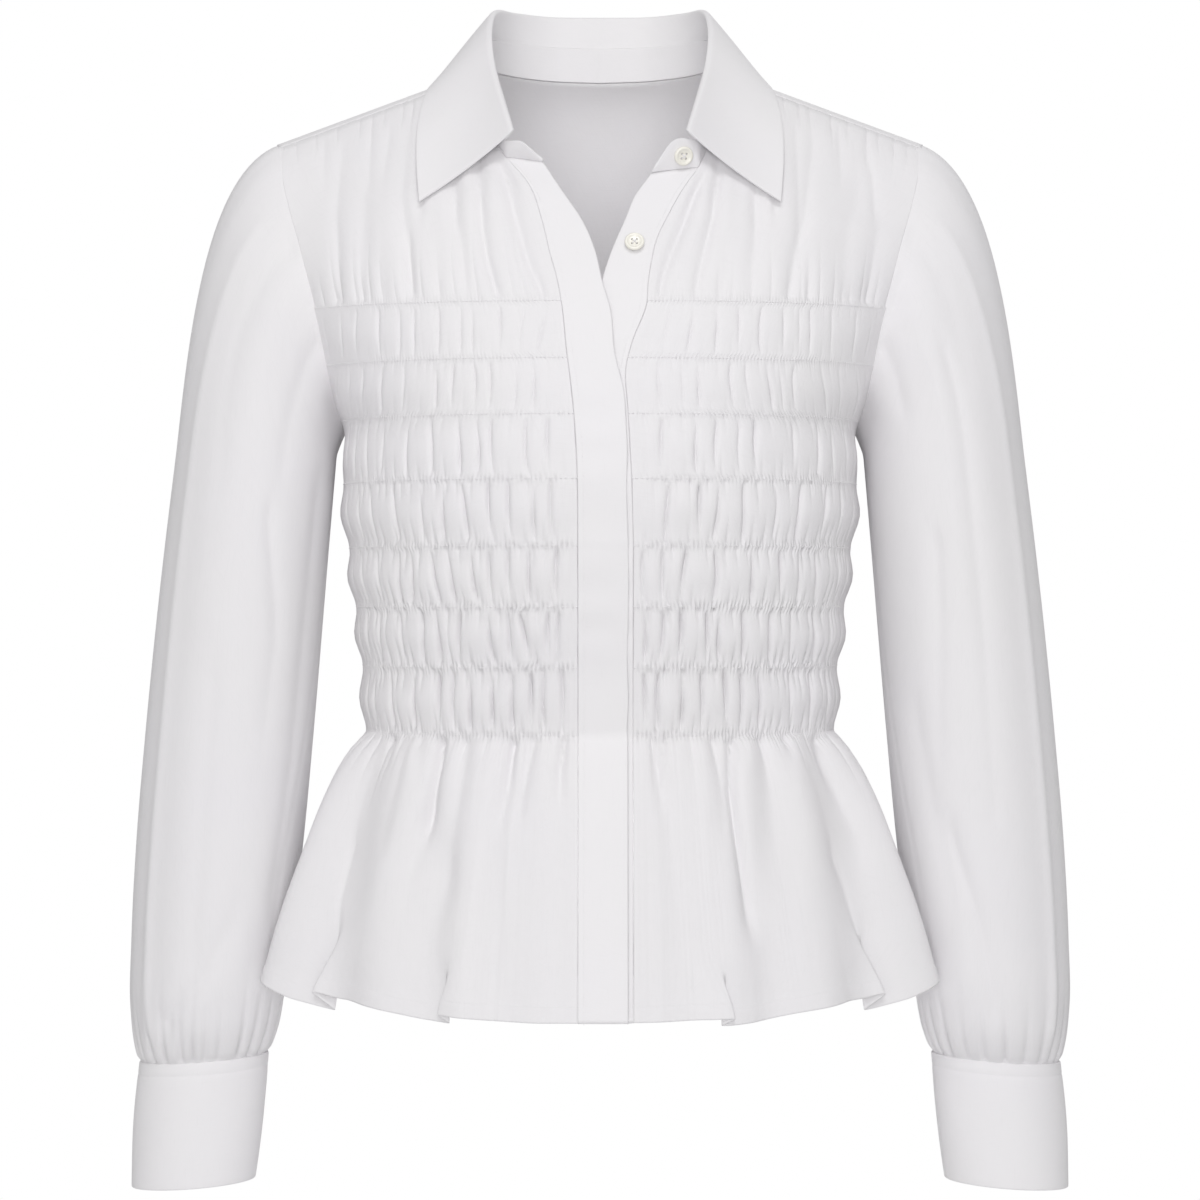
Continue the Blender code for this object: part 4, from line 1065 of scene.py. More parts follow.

# %% [markdown]
# The long creases are listed: above the first row they run up the chest toward the
# shoulder, and below the last one down the peplum. Each has its depth at its first and its
# last point, its half width there, and its points as (x, z).

# %% Long creases of the chest and the peplum
CHEST_CREASES = {
    "right": (
        ((1.5, 0.7), (2.2, 2.5), ((153, -135), (153, -109), (155, -81), (153, -46))),
        ((1.3, 1.0), (2.8, 3.2), ((138, -135), (138, -82))),
        ((2.0, 0.9), (2.0, 3.0), ((108, -136), (111, -112), (116, -75), (114, -35))),
        ((1.6, 1.0), (1.4, 1.6), ((110, -124), (111, -104))),
        ((1.5, 1.7), (2.0, 2.0), ((105, -78), (105, -50), (103, -33))),
        ((1.0, 2.8), (2.0, 3.0), ((77, -129), (80, -104), (84, -89), (85, -69))),
        ((1.9, 3.0), (1.7, 2.4), ((58, -135), (64, -118), (68, -95), (70, -72), (71, -58))),
        ((1.7, 3.2), (1.7, 3.0), ((33, -133), (40, -118), (45, -101), (50, -83), (55, -60))),
        ((0.6, 1.3), (6.0, 6.0), ((97, -100), (97, -84))),
        ((0.9, 0.3), (2.0, 3.0), ((93, -136), (93, -110))),
        ((0.9, 0.3), (2.0, 3.0), ((124, -136), (126, -112))),
        ((0.7, 0.9), (2.0, 1.8), ((136, -60), (136, -40))),
        ((0.5, 0.9), (2.0, 1.8), ((127, -58), (125, -36))),
        ((0.4, 0.9), (2.0, 1.8), ((163, -60), (164, -44))),
    ),
    "left": (
        ((2.1, 3.0), (1.6, 2.2), ((34, -135), (36, -123), (41, -109), (49, -89), (57, -66))),
        ((1.7, 3.2), (1.8, 2.2), ((56, -132), (57, -121), (61, -103), (65, -89), (69, -61))),
        ((0.6, 1.6), (4.0, 5.0), ((79, -88), (80, -70))),
        ((0.7, 2.9), (3.0, 2.6), ((86, -126), (90, -103), (91, -89), (91, -78))),
        ((1.6, 1.8), (1.6, 1.6), ((102, -78), (103, -55))),
        ((1.9, 1.0), (2.3, 2.3), ((110, -132), (113, -109), (119, -92), (122, -69), (126, -40))),
        ((0.8, 0.7), (2.0, 2.0), ((116, -98), (116, -35))),
        ((1.9, 0.5), (1.3, 1.5), ((121, -135), (121, -115))),
        ((1.3, 0.9), (4.5, 5.0), ((143, -132), (143, -109), (146, -89), (152, -72))),
        ((2.1, 0.9), (2.8, 4.0), ((157, -137), (158, -126), (161, -106), (165, -86))),
        ((0.7, 0.7), (1.6, 1.6), ((162, -78), (161, -58), (158, -43))),
        ((0.8, 0.3), (2.0, 3.0), ((70, -132), (73, -112))),
        ((0.5, 0.9), (2.0, 1.8), ((142, -56), (142, -36))),
    ),
}
PEPLUM_CREASES = {
    "right": (
        ((3.0, 2.6), (1.6, 2.2), ((92, -388), (93, -398), (96, -412), (98, -426), (100, -436))),
        ((1.7, 0.6), (3.0, 5.0), ((100, -434), (104, -449), (108, -463), (111, -477))),
        ((1.8, 1.3), (3.6, 5.5), ((77, -389), (79, -406), (82, -423), (86, -446), (89, -469))),
        ((1.2, 0.9), (5.5, 8.0), ((89, -469), (92, -483), (96, -503), (100, -520), (105, -537))),
        ((2.6, 1.8), (1.6, 2.6), ((50, -389), (52, -403), (53, -415), (56, -426))),
        ((2.0, 1.4), (1.8, 3.0), ((38, -389), (41, -400), (44, -417), (46, -423))),
        ((2.2, 1.5), (1.5, 2.2), ((20, -389), (23, -403), (23, -415))),
        ((1.0, 0.7), (2.2, 4.0), ((113, -392), (118, -417), (124, -440))),
        ((1.0, 0.5), (2.0, 3.0), ((104, -391), (105, -406))),
        ((1.8, 0.6), (1.4, 2.0), ((122, -390), (124, -398))),
        ((1.0, 0.9), (4.0, 8.0), ((130, -402), (139, -425), (146, -446))),
        ((-1.0, -0.8), (5.0, 9.0), ((109, -396), (114, -423), (121, -452), (130, -480), (140, -509))),
        ((-0.7, -0.6), (5.0, 8.0), ((71, -404), (74, -446), (77, -480), (80, -514))),
        ((-0.6, -0.6), (2.5, 3.0), ((52, -440), (53, -480), (53, -520))),
        ((0.6, 1.0), (1.6, 1.8), ((145, -452), (149, -472), (152, -486), (155, -500))),
        ((0.6, 0.6), (7.0, 9.0), ((34, -500), (36, -540))),
    ),
    "left": (
        ((2.8, 2.8), (1.6, 2.8), ((77, -387), (76, -400), (76, -417), (79, -440), (84, -470), (87, -489))),
        ((1.5, 0.8), (5.0, 9.0), ((88, -490), (93, -514), (99, -537))),
        ((1.7, 1.0), (2.4, 3.5), ((65, -389), (68, -403), (70, -417), (71, -435))),
        ((1.9, 1.2), (1.6, 2.4), ((37, -390), (33, -406), (35, -420))),
        ((1.4, 0.9), (1.6, 2.0), ((30, -390), (33, -402))),
        ((1.1, 0.8), (4.0, 5.0), ((40, -423), (41, -457), (44, -480), (46, -503))),
        ((1.6, 0.6), (1.8, 5.0), ((94, -389), (96, -403), (98, -417), (100, -440))),
        ((1.8, 0.6), (1.4, 2.0), ((107, -389), (109, -397))),
        ((2.0, 1.3), (2.0, 5.5), ((128, -393), (132, -406), (139, -420), (145, -435), (152, -449))),
        ((0.8, 0.7), (4.0, 4.0), ((121, -400), (129, -423), (134, -446), (137, -457))),
        ((0.6, 1.0), (1.6, 1.8), ((136, -457), (142, -475), (146, -492), (149, -505))),
        ((-1.2, -0.9), (7.0, 10.0), ((112, -402), (119, -440), (121, -469), (116, -500))),
        ((-0.9, -0.5), (4.0, 5.0), ((86, -398), (88, -425))),
        ((-0.9, -0.6), (4.0, 5.0), ((60, -398), (61, -440), (62, -480))),
        ((-0.7, -0.4), (3.5, 4.0), ((45, -398), (46, -420))),
        ((0.6, 0.6), (7.0, 9.0), ((40, -515), (41, -545))),
    ),
}
for where, lists in (("chest", CHEST_CREASES), ("peplum", PEPLUM_CREASES)):
    print("long creases on the", where + ":", sum(len(side) for side in lists.values()))

# %% [markdown]
# At the hem the peplum has more cloth than room, so it laps over itself: going round, the
# cloth runs past a fold, turns back under it and turns out again, like a flat letter S. The
# grid makes one by sliding its columns along the body and lifting the outer layer a little.

# %% Laps at the hem
# Distance from the middle at the hem, half width of the cloth taken up, slide, stand-off,
# share of the drop at which it starts
LAPS = {
    "right": ((160.5, 20, 15, 2.0, 0.6), (89, 17, 10.5, 1.2, 0.74)),
    "left": ((159.5, 20, 14.5, 2.0, 0.6), (72.7, 17, 10, 1.2, 0.74)),
}
BACK_LAPS = {
    "right": ((60, 18, 11.0, 2.0, 0.5), (128, 18, 10.0, 2.0, 0.4)),
    "left": ((84, 18, 12.0, 2.0, 0.4), (24, 17, 7.0, 1.6, 0.7)),
}
LAP_HANG, LAP_HANG_REACH = 0.02, 34.0


def lapped(share, arcs, hem_x, heights, laps):
    """Where each column slides to, how far it stands out and how much lower it hangs."""
    slid = np.repeat(share[None, :], len(heights), axis=0)
    stand, hang = np.zeros_like(slid), np.zeros_like(slid)
    for place, half, slide, off, starts in laps:
        grown = ease((peplum_share(heights) - starts) / (1 - starts))
        for r in np.flatnonzero(grown > 0):
            centre = np.interp(np.interp(place, hem_x, share), share, arcs[r])
            q = (arcs[r] - centre) / half
            turn = grown[r] * np.sin(math.pi * np.clip(q, -1, 1))
            slid[r] -= slide * turn / arcs[r, -1]
            stand[r] -= off * turn
            near = np.exp(-((q * half / LAP_HANG_REACH) ** 2))
            hang[r] += LAP_HANG * slide**2 * grown[r] * np.tanh(3 * q) * near
    return slid, stand, hang


def at_columns(grid, share, slid):
    """Read a grid of vectors at the places that its columns have slid to."""
    parts = [[np.interp(to, share, row[:, i]) for i in range(3)] for row, to in zip(grid, slid)]
    return unit(np.moveaxis(np.array(parts), 1, -1))


print("laps at the hem:", sum(len(side) for laps in (LAPS, BACK_LAPS) for side in laps.values()))

# %% [markdown]
# ## The two fronts
#
# Each front runs from the band to the side seam and from the shoulder to the hem. Its grid
# has four columns to a pucker, and its rows crowd together at every elastic row, where
# the shape changes fastest. The hem is turned twice, so its last nine millimetres
# are a little thicker.

# %% Rows of a body panel
SEAM_SHARE = 0.0002
HEM_DEPTH = 9.0
HEM_STEP = 0.35
SEAM_DIP, SEAM_DIP_REACH = 0.3, 1.1
ALLOWANCE, ALLOWANCE_DEPTH = 3.0, 1.0
STRAIGHT_CHEST = 95.0
ARMHOLE_CALM, MOST_CALM = 7.0, 0.9
# rows beside the elastic, then the steps between two elastic rows and down the peplum
FRONT_STEPS = ((1.2, 2.6, 4.6), 5.0, 6.4)
BACK_STEPS = ((1.4, 3.4), 6.4, 9.0)


def body_levels(near, step, hem_step):
    """Levels from the first elastic row to the hem, closest beside the elastic."""
    near = np.array(near)
    levels = []
    for upper, lower in zip(ELASTIC_ROWS, ELASTIC_ROWS[1:]):
        room = upper - lower - 2 * near[-1]
        between = np.linspace(upper - near[-1], lower + near[-1], round(room / step) + 1)
        levels += [upper, *(upper - near), *between[1:-1], *(lower + near)]
    last, hem = ELASTIC_ROWS[-1], ELASTIC_ROWS[-1] - HEM_FALL
    stitched = hem + HEM_DEPTH
    levels += [last, *(last - near)]
    levels += list(np.arange(last - near[-1] - hem_step, stitched + 3, -hem_step))
    levels += [stitched + 0.8, stitched, stitched - 0.8, stitched - 4.5, hem + 1.0, hem]
    return np.array(sorted(set(np.round(levels, 3)), reverse=True))


def hem_relief(heights):
    """The turned hem stands a little proud below its stitching."""
    up = heights - (ELASTIC_ROWS[-1] - HEM_FALL)
    return HEM_STEP * (1 - ease((up - HEM_DEPTH + 0.8) / 1.6))


def seam_dip(arcs):
    """An edge turns in where it is sewn to its neighbour."""
    return -SEAM_DIP * np.exp(-((arcs / SEAM_DIP_REACH) ** 2))


def below_underarm(level):
    """1 on the rows below the underarm, where there is a side seam; 0 above it."""
    return ease((UNDERARM_Z - level) / 4)[:, None]


def with_allowance(points, onward, inward, gap=0.9):
    """Carry a grid's first row on beneath its neighbour, as a seam allowance does."""
    near = points[:1] + onward * gap + inward * ALLOWANCE_DEPTH
    far = points[:1] + onward * ALLOWANCE + inward * (ALLOWANCE_DEPTH + 0.3)
    return np.concatenate([far, near, points])


def calm_at_armhole(arcs, level):
    """A panel lies flat along its armhole, where a sleeve is sewn on."""
    beside = 1 - ease((arcs[:, -1:] - arcs) / ARMHOLE_CALM)
    return 1 - MOST_CALM * beside * ease((level - UNDERARM_Z + 4) / 4)[:, None]


def shirring(rng, shares, arcs, level, valleys, width):
    """The puckers of a panel, and its pillows with the small folds between them."""
    tiny = puckers(rng, level, shares.shape[1])
    folds = band_relief(shares, arcs, level, valleys) + small_folds(rng, shares, arcs, level, width)
    calm = calm_at_sides(shares) * calm_at_armhole(arcs, level)
    return tiny * calm, folds * calm


def place_cloth(side, ring, smooth, out, share, heights, relief, laps, first):
    """Move the smooth grid out by its relief, and lap the rows of the peplum."""
    points = smooth + out * relief[..., None]
    hem_x = smooth[-1, :, 0]
    arcs = run_lengths(smooth[first:], 1)
    slid, stand, hang = lapped(share, arcs, hem_x, heights, laps)
    moved = np.flatnonzero((np.abs(slid - share) > 0).any(axis=1))
    base = ring(side, slid[moved], heights[moved, None])
    turned = at_columns(out[first:][moved], share, slid[moved])
    lifted = base + turned * (relief[first:][moved] + stand[moved])[..., None]
    lifted[..., 2] -= hang[moved]
    points[first + moved] = lifted
    return points


print("levels of a front below its first elastic row:", len(body_levels(*FRONT_STEPS)))

# %% [markdown]
# Beside the band a front is sewn down flat, so every height starts low there. The chest
# gets its long creases and short gathers from the shoulder seam, the peplum its
# creases from the last elastic row, and the hem its laps.

# %% Make the fronts
FRONT_COLUMNS, CHEST_LINES = 339, 30
FRONT_SEEDS = {"right": 11, "left": 12}
# how far from the band a front takes to come up to its full height
PUCKERS_RISE, FOLDS_RISE, CREASES_RISE, GATHERS_RISE, SHOULDER_RISE = 4, 7, 8, 12, 20
# how far gathers reach and how firm they are
ABOVE_FIRST_ROW, BELOW_LAST_ROW, FROM_SHOULDER = (20, 0.4), (24, 0.5), (9, 0.65, (5, 14))
CHEST_WIDER, PEPLUM_WIDER = 2.0, 1.9
RELEASE_FADE, FADE_FROM, FADE_OVER = 0.6, 70, 60


def front_grid(side):
    """A front as a grid of points, drawn as if it were the wearer's right one, and its levels."""
    rng = np.random.default_rng(FRONT_SEEDS[side])
    share = np.linspace(SEAM_SHARE, 1 - SEAM_SHARE, FRONT_COLUMNS + 1)
    low_v = np.array(FRONT_STEPS[0]) / STRAIGHT_CHEST
    v = np.concatenate([low_v, np.linspace(low_v[-1], 1 - SEAM_SHARE, CHEST_LINES)[1:]])[::-1]
    heights = body_levels(*FRONT_STEPS)
    width = length(front_ring(side, share, np.full_like(share, ELASTIC_ROWS[0])))
    valleys = [front_valleys(rng, side, band, width) for band in range(len(ELASTIC_ROWS) - 1)]
    even = np.repeat(share[None, :], len(v), axis=0)
    shares = np.concatenate([even, settled(share, heights, valleys)])
    first = len(v)
    smooth = np.concatenate([
        chest(side, even, v[:, None]),
        front_ring(side, shares[first:], heights[:, None]),
    ])
    out = facing(smooth, -1)
    arcs = run_lengths(smooth, 1)
    level = np.concatenate([ELASTIC_ROWS[0] + v * STRAIGHT_CHEST, heights])
    tiny, folds = shirring(rng, shares, arcs, level, valleys, width)
    relief = tiny * ease(arcs / PUCKERS_RISE) + folds * (0.1 + 0.9 * ease(arcs / FOLDS_RISE))
    above, below = level - ELASTIC_ROWS[0], ELASTIC_ROWS[-1] - level
    from_shoulder = np.where(above > 0, STRAIGHT_CHEST - above, 0)
    for away, gathers, rise in (
        (above, ABOVE_FIRST_ROW, GATHERS_RISE),
        (below, BELOW_LAST_ROW, GATHERS_RISE),
        (from_shoulder, FROM_SHOULDER, SHOULDER_RISE),
    ):
        relief += fading_gathers(rng, shares, arcs, away, width, *gathers) * ease(arcs / rise)
    x, z = smooth[..., 0], smooth[..., 2]
    raised = CHEST_SOFTNESS * (above > 0) * ease(above / 3)
    long_ones = creases(x, z, CHEST_CREASES[side], CHEST_WIDER) * raised[:, None]
    released = ease(below / 3) * (1 - RELEASE_FADE * ease((below - FADE_FROM) / FADE_OVER))
    released *= PEPLUM_SOFTNESS
    long_ones += creases(x, z, PEPLUM_CREASES[side], PEPLUM_WIDER) * released[:, None]
    relief += long_ones * ease(arcs / CREASES_RISE) * ease((arcs[:, -1:] - arcs) / 6)
    relief += 0.4 * seam_dip(arcs) + seam_dip(arcs[:, -1:] - arcs) * below_underarm(level)
    relief += hem_relief(level)[:, None]
    relief[0] -= 0.1
    points = place_cloth(side, front_ring, smooth, out, share, heights, relief, LAPS[side], first)
    points = with_allowance(points, unit(smooth[:1] - smooth[1:2]), -out[:1])
    return points, np.concatenate([[0, 0], level])


fronts = {}
for side in SIGN:
    grid, front_levels = front_grid(side)
    fronts[side] = mirrored(grid, side)
    piece = cloth_mesh(f"front_{side}_cloth", fronts[side], CLOTH_WALL, BODY_COTTON, flip=side == "right")
    belongs(piece, f"front_{side}")

# %% [markdown]
# ## The back
#
# The back is one piece from the yoke seam to the hem, made as two halves that meet in the
# middle. Nobody sees it at first, but it is gathered in the same way as the fronts.

# %% Make the back
BACK_COLUMNS = 270
BACK_SEEDS = {"right": 21, "left": 22}
BACK_TOP_ROWS = (YOKE_SEAM_Z - 0.15, YOKE_SEAM_Z - 1.2, -128.5, -132, -135.2)
BACK_ABOVE_FIRST_ROW, BACK_BELOW_LAST_ROW = (12, 0.4), (30, 0.5)
BACK_CREASES = {
    "right": (
        ((1.6, 0.8), (2.5, 8), ((22, -389), (26, -420), (30, -540))),
        ((1.4, 0.8), (2.5, 9), ((98, -389), (106, -440), (110, -540))),
        ((1.2, 0.3), (2.5, 6), ((66, -389), (70, -430))),
        ((-0.7, -0.7), (6, 10), ((44, -410), (48, -530))),
        ((1.0, 0.9), (6, 10), ((144, -430), (160, -540))),
    ),
    "left": (
        ((1.5, 0.8), (2.5, 8), ((44, -389), (50, -430), (56, -540))),
        ((1.5, 0.8), (2.5, 9), ((112, -389), (124, -440), (134, -540))),
        ((1.2, 0.3), (2.5, 6), ((14, -389), (16, -430))),
        ((-0.7, -0.7), (6, 10), ((68, -410), (74, -530))),
        ((0.9, 0.9), (6, 10), ((96, -440), (104, -540))),
    ),
}


def back_grid():
    """The whole back as a grid of points, and its levels."""
    share = np.linspace(0, 1 - SEAM_SHARE, BACK_COLUMNS + 1)
    heights = np.concatenate([BACK_TOP_ROWS, body_levels(*BACK_STEPS)])
    half = {}
    for side in SIGN:
        rng = np.random.default_rng(BACK_SEEDS[side])
        width = length(back_ring(side, share, np.full_like(share, ELASTIC_ROWS[0])))
        valleys = [back_valleys(rng, width) for _ in ELASTIC_ROWS[1:]]
        shares = settled(share, heights, valleys)
        smooth = back_ring(side, shares, heights[:, None])
        out = facing(smooth, 1)
        arcs = run_lengths(smooth, 1)
        relief = sum(shirring(rng, shares, arcs, heights, valleys, width))
        above, below = heights - ELASTIC_ROWS[0], ELASTIC_ROWS[-1] - heights
        upper = fading_gathers(rng, shares, arcs, above, width, *BACK_ABOVE_FIRST_ROW)
        relief += upper * ease((YOKE_SEAM_Z - heights) / 5)[:, None]
        relief += fading_gathers(rng, shares, arcs, below, width, *BACK_BELOW_LAST_ROW)
        long_ones = creases(smooth[..., 0], smooth[..., 2], BACK_CREASES[side]) * ease(below / 3)[:, None]
        relief += long_ones * ease((arcs[:, -1:] - arcs) / 6) + hem_relief(heights)[:, None]
        relief += seam_dip(arcs[:, -1:] - arcs) * below_underarm(heights)
        relief[:2] -= SEAM_DIP * np.array([[0.6], [0.2]])
        laps = BACK_LAPS[side]
        half[side] = place_cloth(side, back_ring, smooth, out, share, heights, relief, laps, 0)
    middle = (half["right"][:, 0] + half["left"][:, 0]) / 2
    middle[:, 0] = 0
    for grid in half.values():
        grid[:, 0] = middle
    return both_halves(half), heights


back, back_levels = back_grid()
belongs(cloth_mesh("back_cloth", back, CLOTH_WALL, BODY_COTTON, flip=True), "back")

# %% [markdown]
# ## The yoke
#
# The yoke lies flat over the shoulder blades and folds over the shoulder's ridge. Two
# layers of cloth make it lie smoother than anything below it, so it gets only a few wide,
# shallow creases, and small pull marks where the gathered back is sewn on.

# %% Make the yoke
YOKE_WALL = 0.8
SHOULDER_GAP = (0.0, 0.03, 0.02)
YOKE_CREASES = {
    "right": (
        ((0.7, 0.5), (7, 9), ((60, -24), (66, -118))),
        ((0.5, 0.8), (8, 8), ((128, -40), (120, -118))),
    ),
    "left": (
        ((0.6, 0.6), (8, 9), ((40, -20), (46, -118))),
        ((0.8, 0.5), (7, 9), ((106, -36), (112, -118))),
    ),
}
YOKE_DROP = 90
PULL, PULL_REACH = 0.18, 5


def yoke_grid():
    """The yoke: a strip over each shoulder down to the front seam, then the part behind."""
    corner = yoke_neck_share()
    u = np.concatenate([np.linspace(0, corner, 31), np.linspace(corner, 1 - SEAM_SHARE, 49)[1:]])[None, :]
    v = np.concatenate([np.linspace(0, 0.96, 36), [0.975, 0.988, 1 - SEAM_SHARE]])[:, None]
    share = (u - corner) / (1 - corner)
    seam = along((NECK_FRONT["right"][0], SEAM_POINT), np.clip(share, 0, 1)) + np.array(SHOULDER_GAP)
    ridge = yoke_top(u)
    forward = np.linalg.norm(ridge - seam, axis=-1, keepdims=True)
    leave, arrive = -unit(read(YOKE_LEAVES, u)) * forward, -unit(np.array(CHEST_ARRIVES)) * forward
    strip = np.concatenate([hermite(ridge, leave, seam, arrive, t) for t in np.linspace(1, 0, 9)[:-1]])
    strip[:, (share < -1e-6)[0]] = np.nan
    half = {}
    for side in SIGN:
        smooth = yoke(u, v)
        relief = creases(smooth[..., 0], smooth[..., 2], YOKE_CREASES[side])
        relief *= ease(v / 0.2) * ease((1 - v) / 0.1)
        arcs = run_lengths(smooth, 1)
        from_seam = (1 - v) * YOKE_DROP
        pull = PULL * np.cos(arcs / 3.4 + np.sin(arcs / 11)) * np.exp(-((from_seam / PULL_REACH) ** 2))
        relief += pull * ease((arcs[:, -1:] - arcs) / 8) + seam_dip(from_seam)
        half[side] = np.concatenate([strip, smooth + facing(smooth, 1) * relief[..., None]])
    return both_halves(half)


yoke_points = yoke_grid()
belongs(cloth_mesh("yoke_cloth", yoke_points, YOKE_WALL, BODY_COTTON, flip=True), "yoke")

# %% [markdown]
# ## The sleeves
#
# A set-in sleeve hangs from the armhole as one tube. It falls in long, soft, upright
# folds, it bags a little above the cuff, and the last few centimetres are gathered into
# the cuff. Angles run round the arm from its outer side by way of the front.

# %% The form of a sleeve
# height, outer side, inner side, middle depth, half depth, tilt of the section
ARM = (
    (-225, 254.5, 158.5, 2, 60, 0), (-284, 261.6, 163.4, 1, 59, -0.005),
    (-390, 272.4, 172, -1, 55, -0.02), (-450, 277.5, 177.5, -1, 53, -0.03),
    (-510, 280.6, 184.5, -1, 51, -0.045), (-548, 281, 189.5, -2, 48, -0.06),
    (-566, 279, 193, -2, 43, -0.07), (-581.6, 275.6, 198.8, -2, 34, -0.07),
)
# share round the sleeve from its outer side by way of the front, way it leaves the armhole
SLEEVE_LEAVES = (
    (0.00, 0.93, 0.00, -0.37), (0.25, 0.80, -0.25, -0.55), (0.50, 0.30, 0.00, -0.95),
    (0.75, 0.80, 0.25, -0.55), (1.00, 0.93, 0.00, -0.37),
)
SLEEVE_LEAVES_PULL = 0.78
UNDERARM_CLEAR = 0.15
TUCK, TUCK_REACH = 0.55, 1.3
ARMHOLE_GAP = 0.06


def armhole_sides(side):
    """The armhole's edge down the front and up the back, closely read."""
    edge = np.ones((1, 1))
    under = np.linspace(ELASTIC_ROWS[0], UNDERARM_Z, 13)[1:, None]
    down = np.concatenate([
        np.array([RIDGE_POINT], float),
        read(FRONT_ARMHOLE, np.linspace(1, 0, 25)),
        front_ring(side, edge, under)[:, 0],
    ])
    behind = np.linspace(UNDERARM_Z, YOKE_SEAM_Z, 13)[:-1, None]
    up = np.concatenate([back_ring(side, edge, behind)[:, 0], read(BACK_ARMHOLE, np.linspace(1, 0, 25))])
    return down, up


def arm_ring(share, height):
    """Round the arm at a height; share 0 is the outer side, 0.25 the front."""
    outer, inner, middle, half_depth, tilt = np.moveaxis(read(ARM, height), -1, 0)
    turn = 2 * math.pi * share
    x = (outer + inner) / 2 + (outer - inner) / 2 * np.cos(turn)
    y = middle - half_depth * np.sin(turn)
    return np.stack([x, y, height + tilt * (x - (outer + inner) / 2)], -1)


def sleeve_cap(side, share, v):
    """From the armhole down to the first whole ring of the arm."""
    share, v = np.broadcast_arrays(share, v)
    leave = unit(read(SLEEVE_LEAVES, share))
    down, up = armhole_sides(side)
    ahead, behind = along(down, np.clip(share * 2, 0, 1)), along(up, np.clip(share * 2 - 1, 0, 1))
    start = np.where((share < 0.5)[..., None], ahead, behind) + leave * ARMHOLE_GAP
    start[..., 0] += UNDERARM_CLEAR * np.exp(-(((share - 0.5) / 0.12) ** 2))
    end = arm_ring(share, np.full_like(share, ARM[0][0]))
    below = arm_ring(share, np.full_like(share, ARM[0][0] - 12))
    reach = np.linalg.norm(end - start, axis=-1, keepdims=True) * SLEEVE_LEAVES_PULL
    return hermite(start, leave * reach, end, unit(below - end) * reach, v[..., None])


print("armhole:", round(sum(length(half) for half in armhole_sides("right"))), "mm round")

# %% [markdown]
# The long folds are listed again, by angle and height. A negative depth is a
# ridge: the sleeve has one all down its outer front, where a pressed sleeve would fold.

# %% Folds of the sleeves
# (depth at the first and last point), (half width in degrees there), points as (angle, z)
SLEEVE_FOLDS = {
    "right": (
        ((-0.8, -1.4), (6, 5), ((46, -95), (45, -300), (45, -560))),
        ((1.4, 0.9), (9, 8), ((96, -70), (112, -110), (119, -150), (117, -225))),
        ((1.5, 0.5), (5, 7), ((110, -262), (118, -300), (123, -330), (120, -380))),
        ((0.7, 0.7), (9, 9), ((82, -360), (84, -520))),
        ((1.3, 0.4), (9, 10), ((70, -90), (66, -160), (72, -240))),
        ((0.6, 1.8), (9, 7), ((112, -492), (92, -530), (66, -556))),
        ((1.0, 0.8), (9, 8), ((150, -250), (146, -400), (140, -480))),
        ((1.1, 0.8), (9, 10), ((226, -90), (232, -300))),
        ((1.0, 1.2), (9, 9), ((262, -240), (255, -420), (258, -540))),
        ((-0.8, -1.0), (7, 7), ((314, -95), (315, -560))),
        ((0.9, 0.6), (9, 10), ((294, -120), (300, -400))),
        ((0.8, 1.0), (9, 9), ((205, -300), (210, -540))),
    ),
    "left": (
        ((-0.8, -1.4), (6, 5), ((46, -95), (45, -300), (45, -560))),
        ((1.4, 1.0), (9, 7), ((88, -120), (100, -137), (119, -153), (121, -190))),
        ((1.2, 0.6), (5, 6), ((81, -165), (81, -320), (84, -430))),
        ((-0.7, -0.6), (7, 7), ((94, -170), (93, -310))),
        ((1.4, 0.6), (5, 7), ((108, -278), (111, -325), (118, -390))),
        ((0.8, 0.8), (9, 9), ((134, -380), (120, -480))),
        ((1.6, 1.6), (7, 8), ((115, -450), (102, -497), (96, -540))),
        ((0.9, 0.6), (9, 10), ((64, -90), (70, -170))),
        ((1.0, 0.8), (9, 10), ((222, -90), (230, -320))),
        ((1.0, 1.2), (9, 9), ((250, -220), (262, -400), (254, -540))),
        ((-0.8, -1.0), (7, 7), ((314, -95), (315, -560))),
        ((0.9, 0.6), (9, 10), ((288, -140), (296, -420))),
        ((0.8, 1.0), (9, 9), ((212, -310), (204, -540))),
    ),
}
print("folds in each sleeve:", {side: len(folds) for side, folds in SLEEVE_FOLDS.items()})

# %% [markdown]
# The tube starts on the armhole and turns a little under there, as a sewn-in edge does.
# Its own seam runs down the inner side and drifts a little forward on its way to the cuff.
# The gathers above the cuff are pillows like those of the shirring, but they are sewn in
# at their lower end only.

# %% Make the sleeves
SLEEVE_COLUMNS, SLEEVE_SEEDS = 186, {"right": 31, "left": 32}
SLEEVE_SOFTNESS = 1.4
# the gathers above the cuff: apart as shares, how high they reach, how much they swell, sink
CUFF_GATHERS, GATHERED_UP_TO, GATHERED_SWELL, GATHERED_SINK = (0.028, 0.052), 70, 1.35, 0.95
CUFF_EDGE = -582.2
# height and share round the sleeve of its seam, and about how far it is round the arm
SLEEVE_SEAM = ((-582, 0.385), (-470, 0.405), (-400, 0.44), (-330, 0.47), (-224, 0.5))
ROUND_ARM, SLEEVE_SEAM_DIP, SLEEVE_SEAM_REACH = 338, 0.35, 1.6


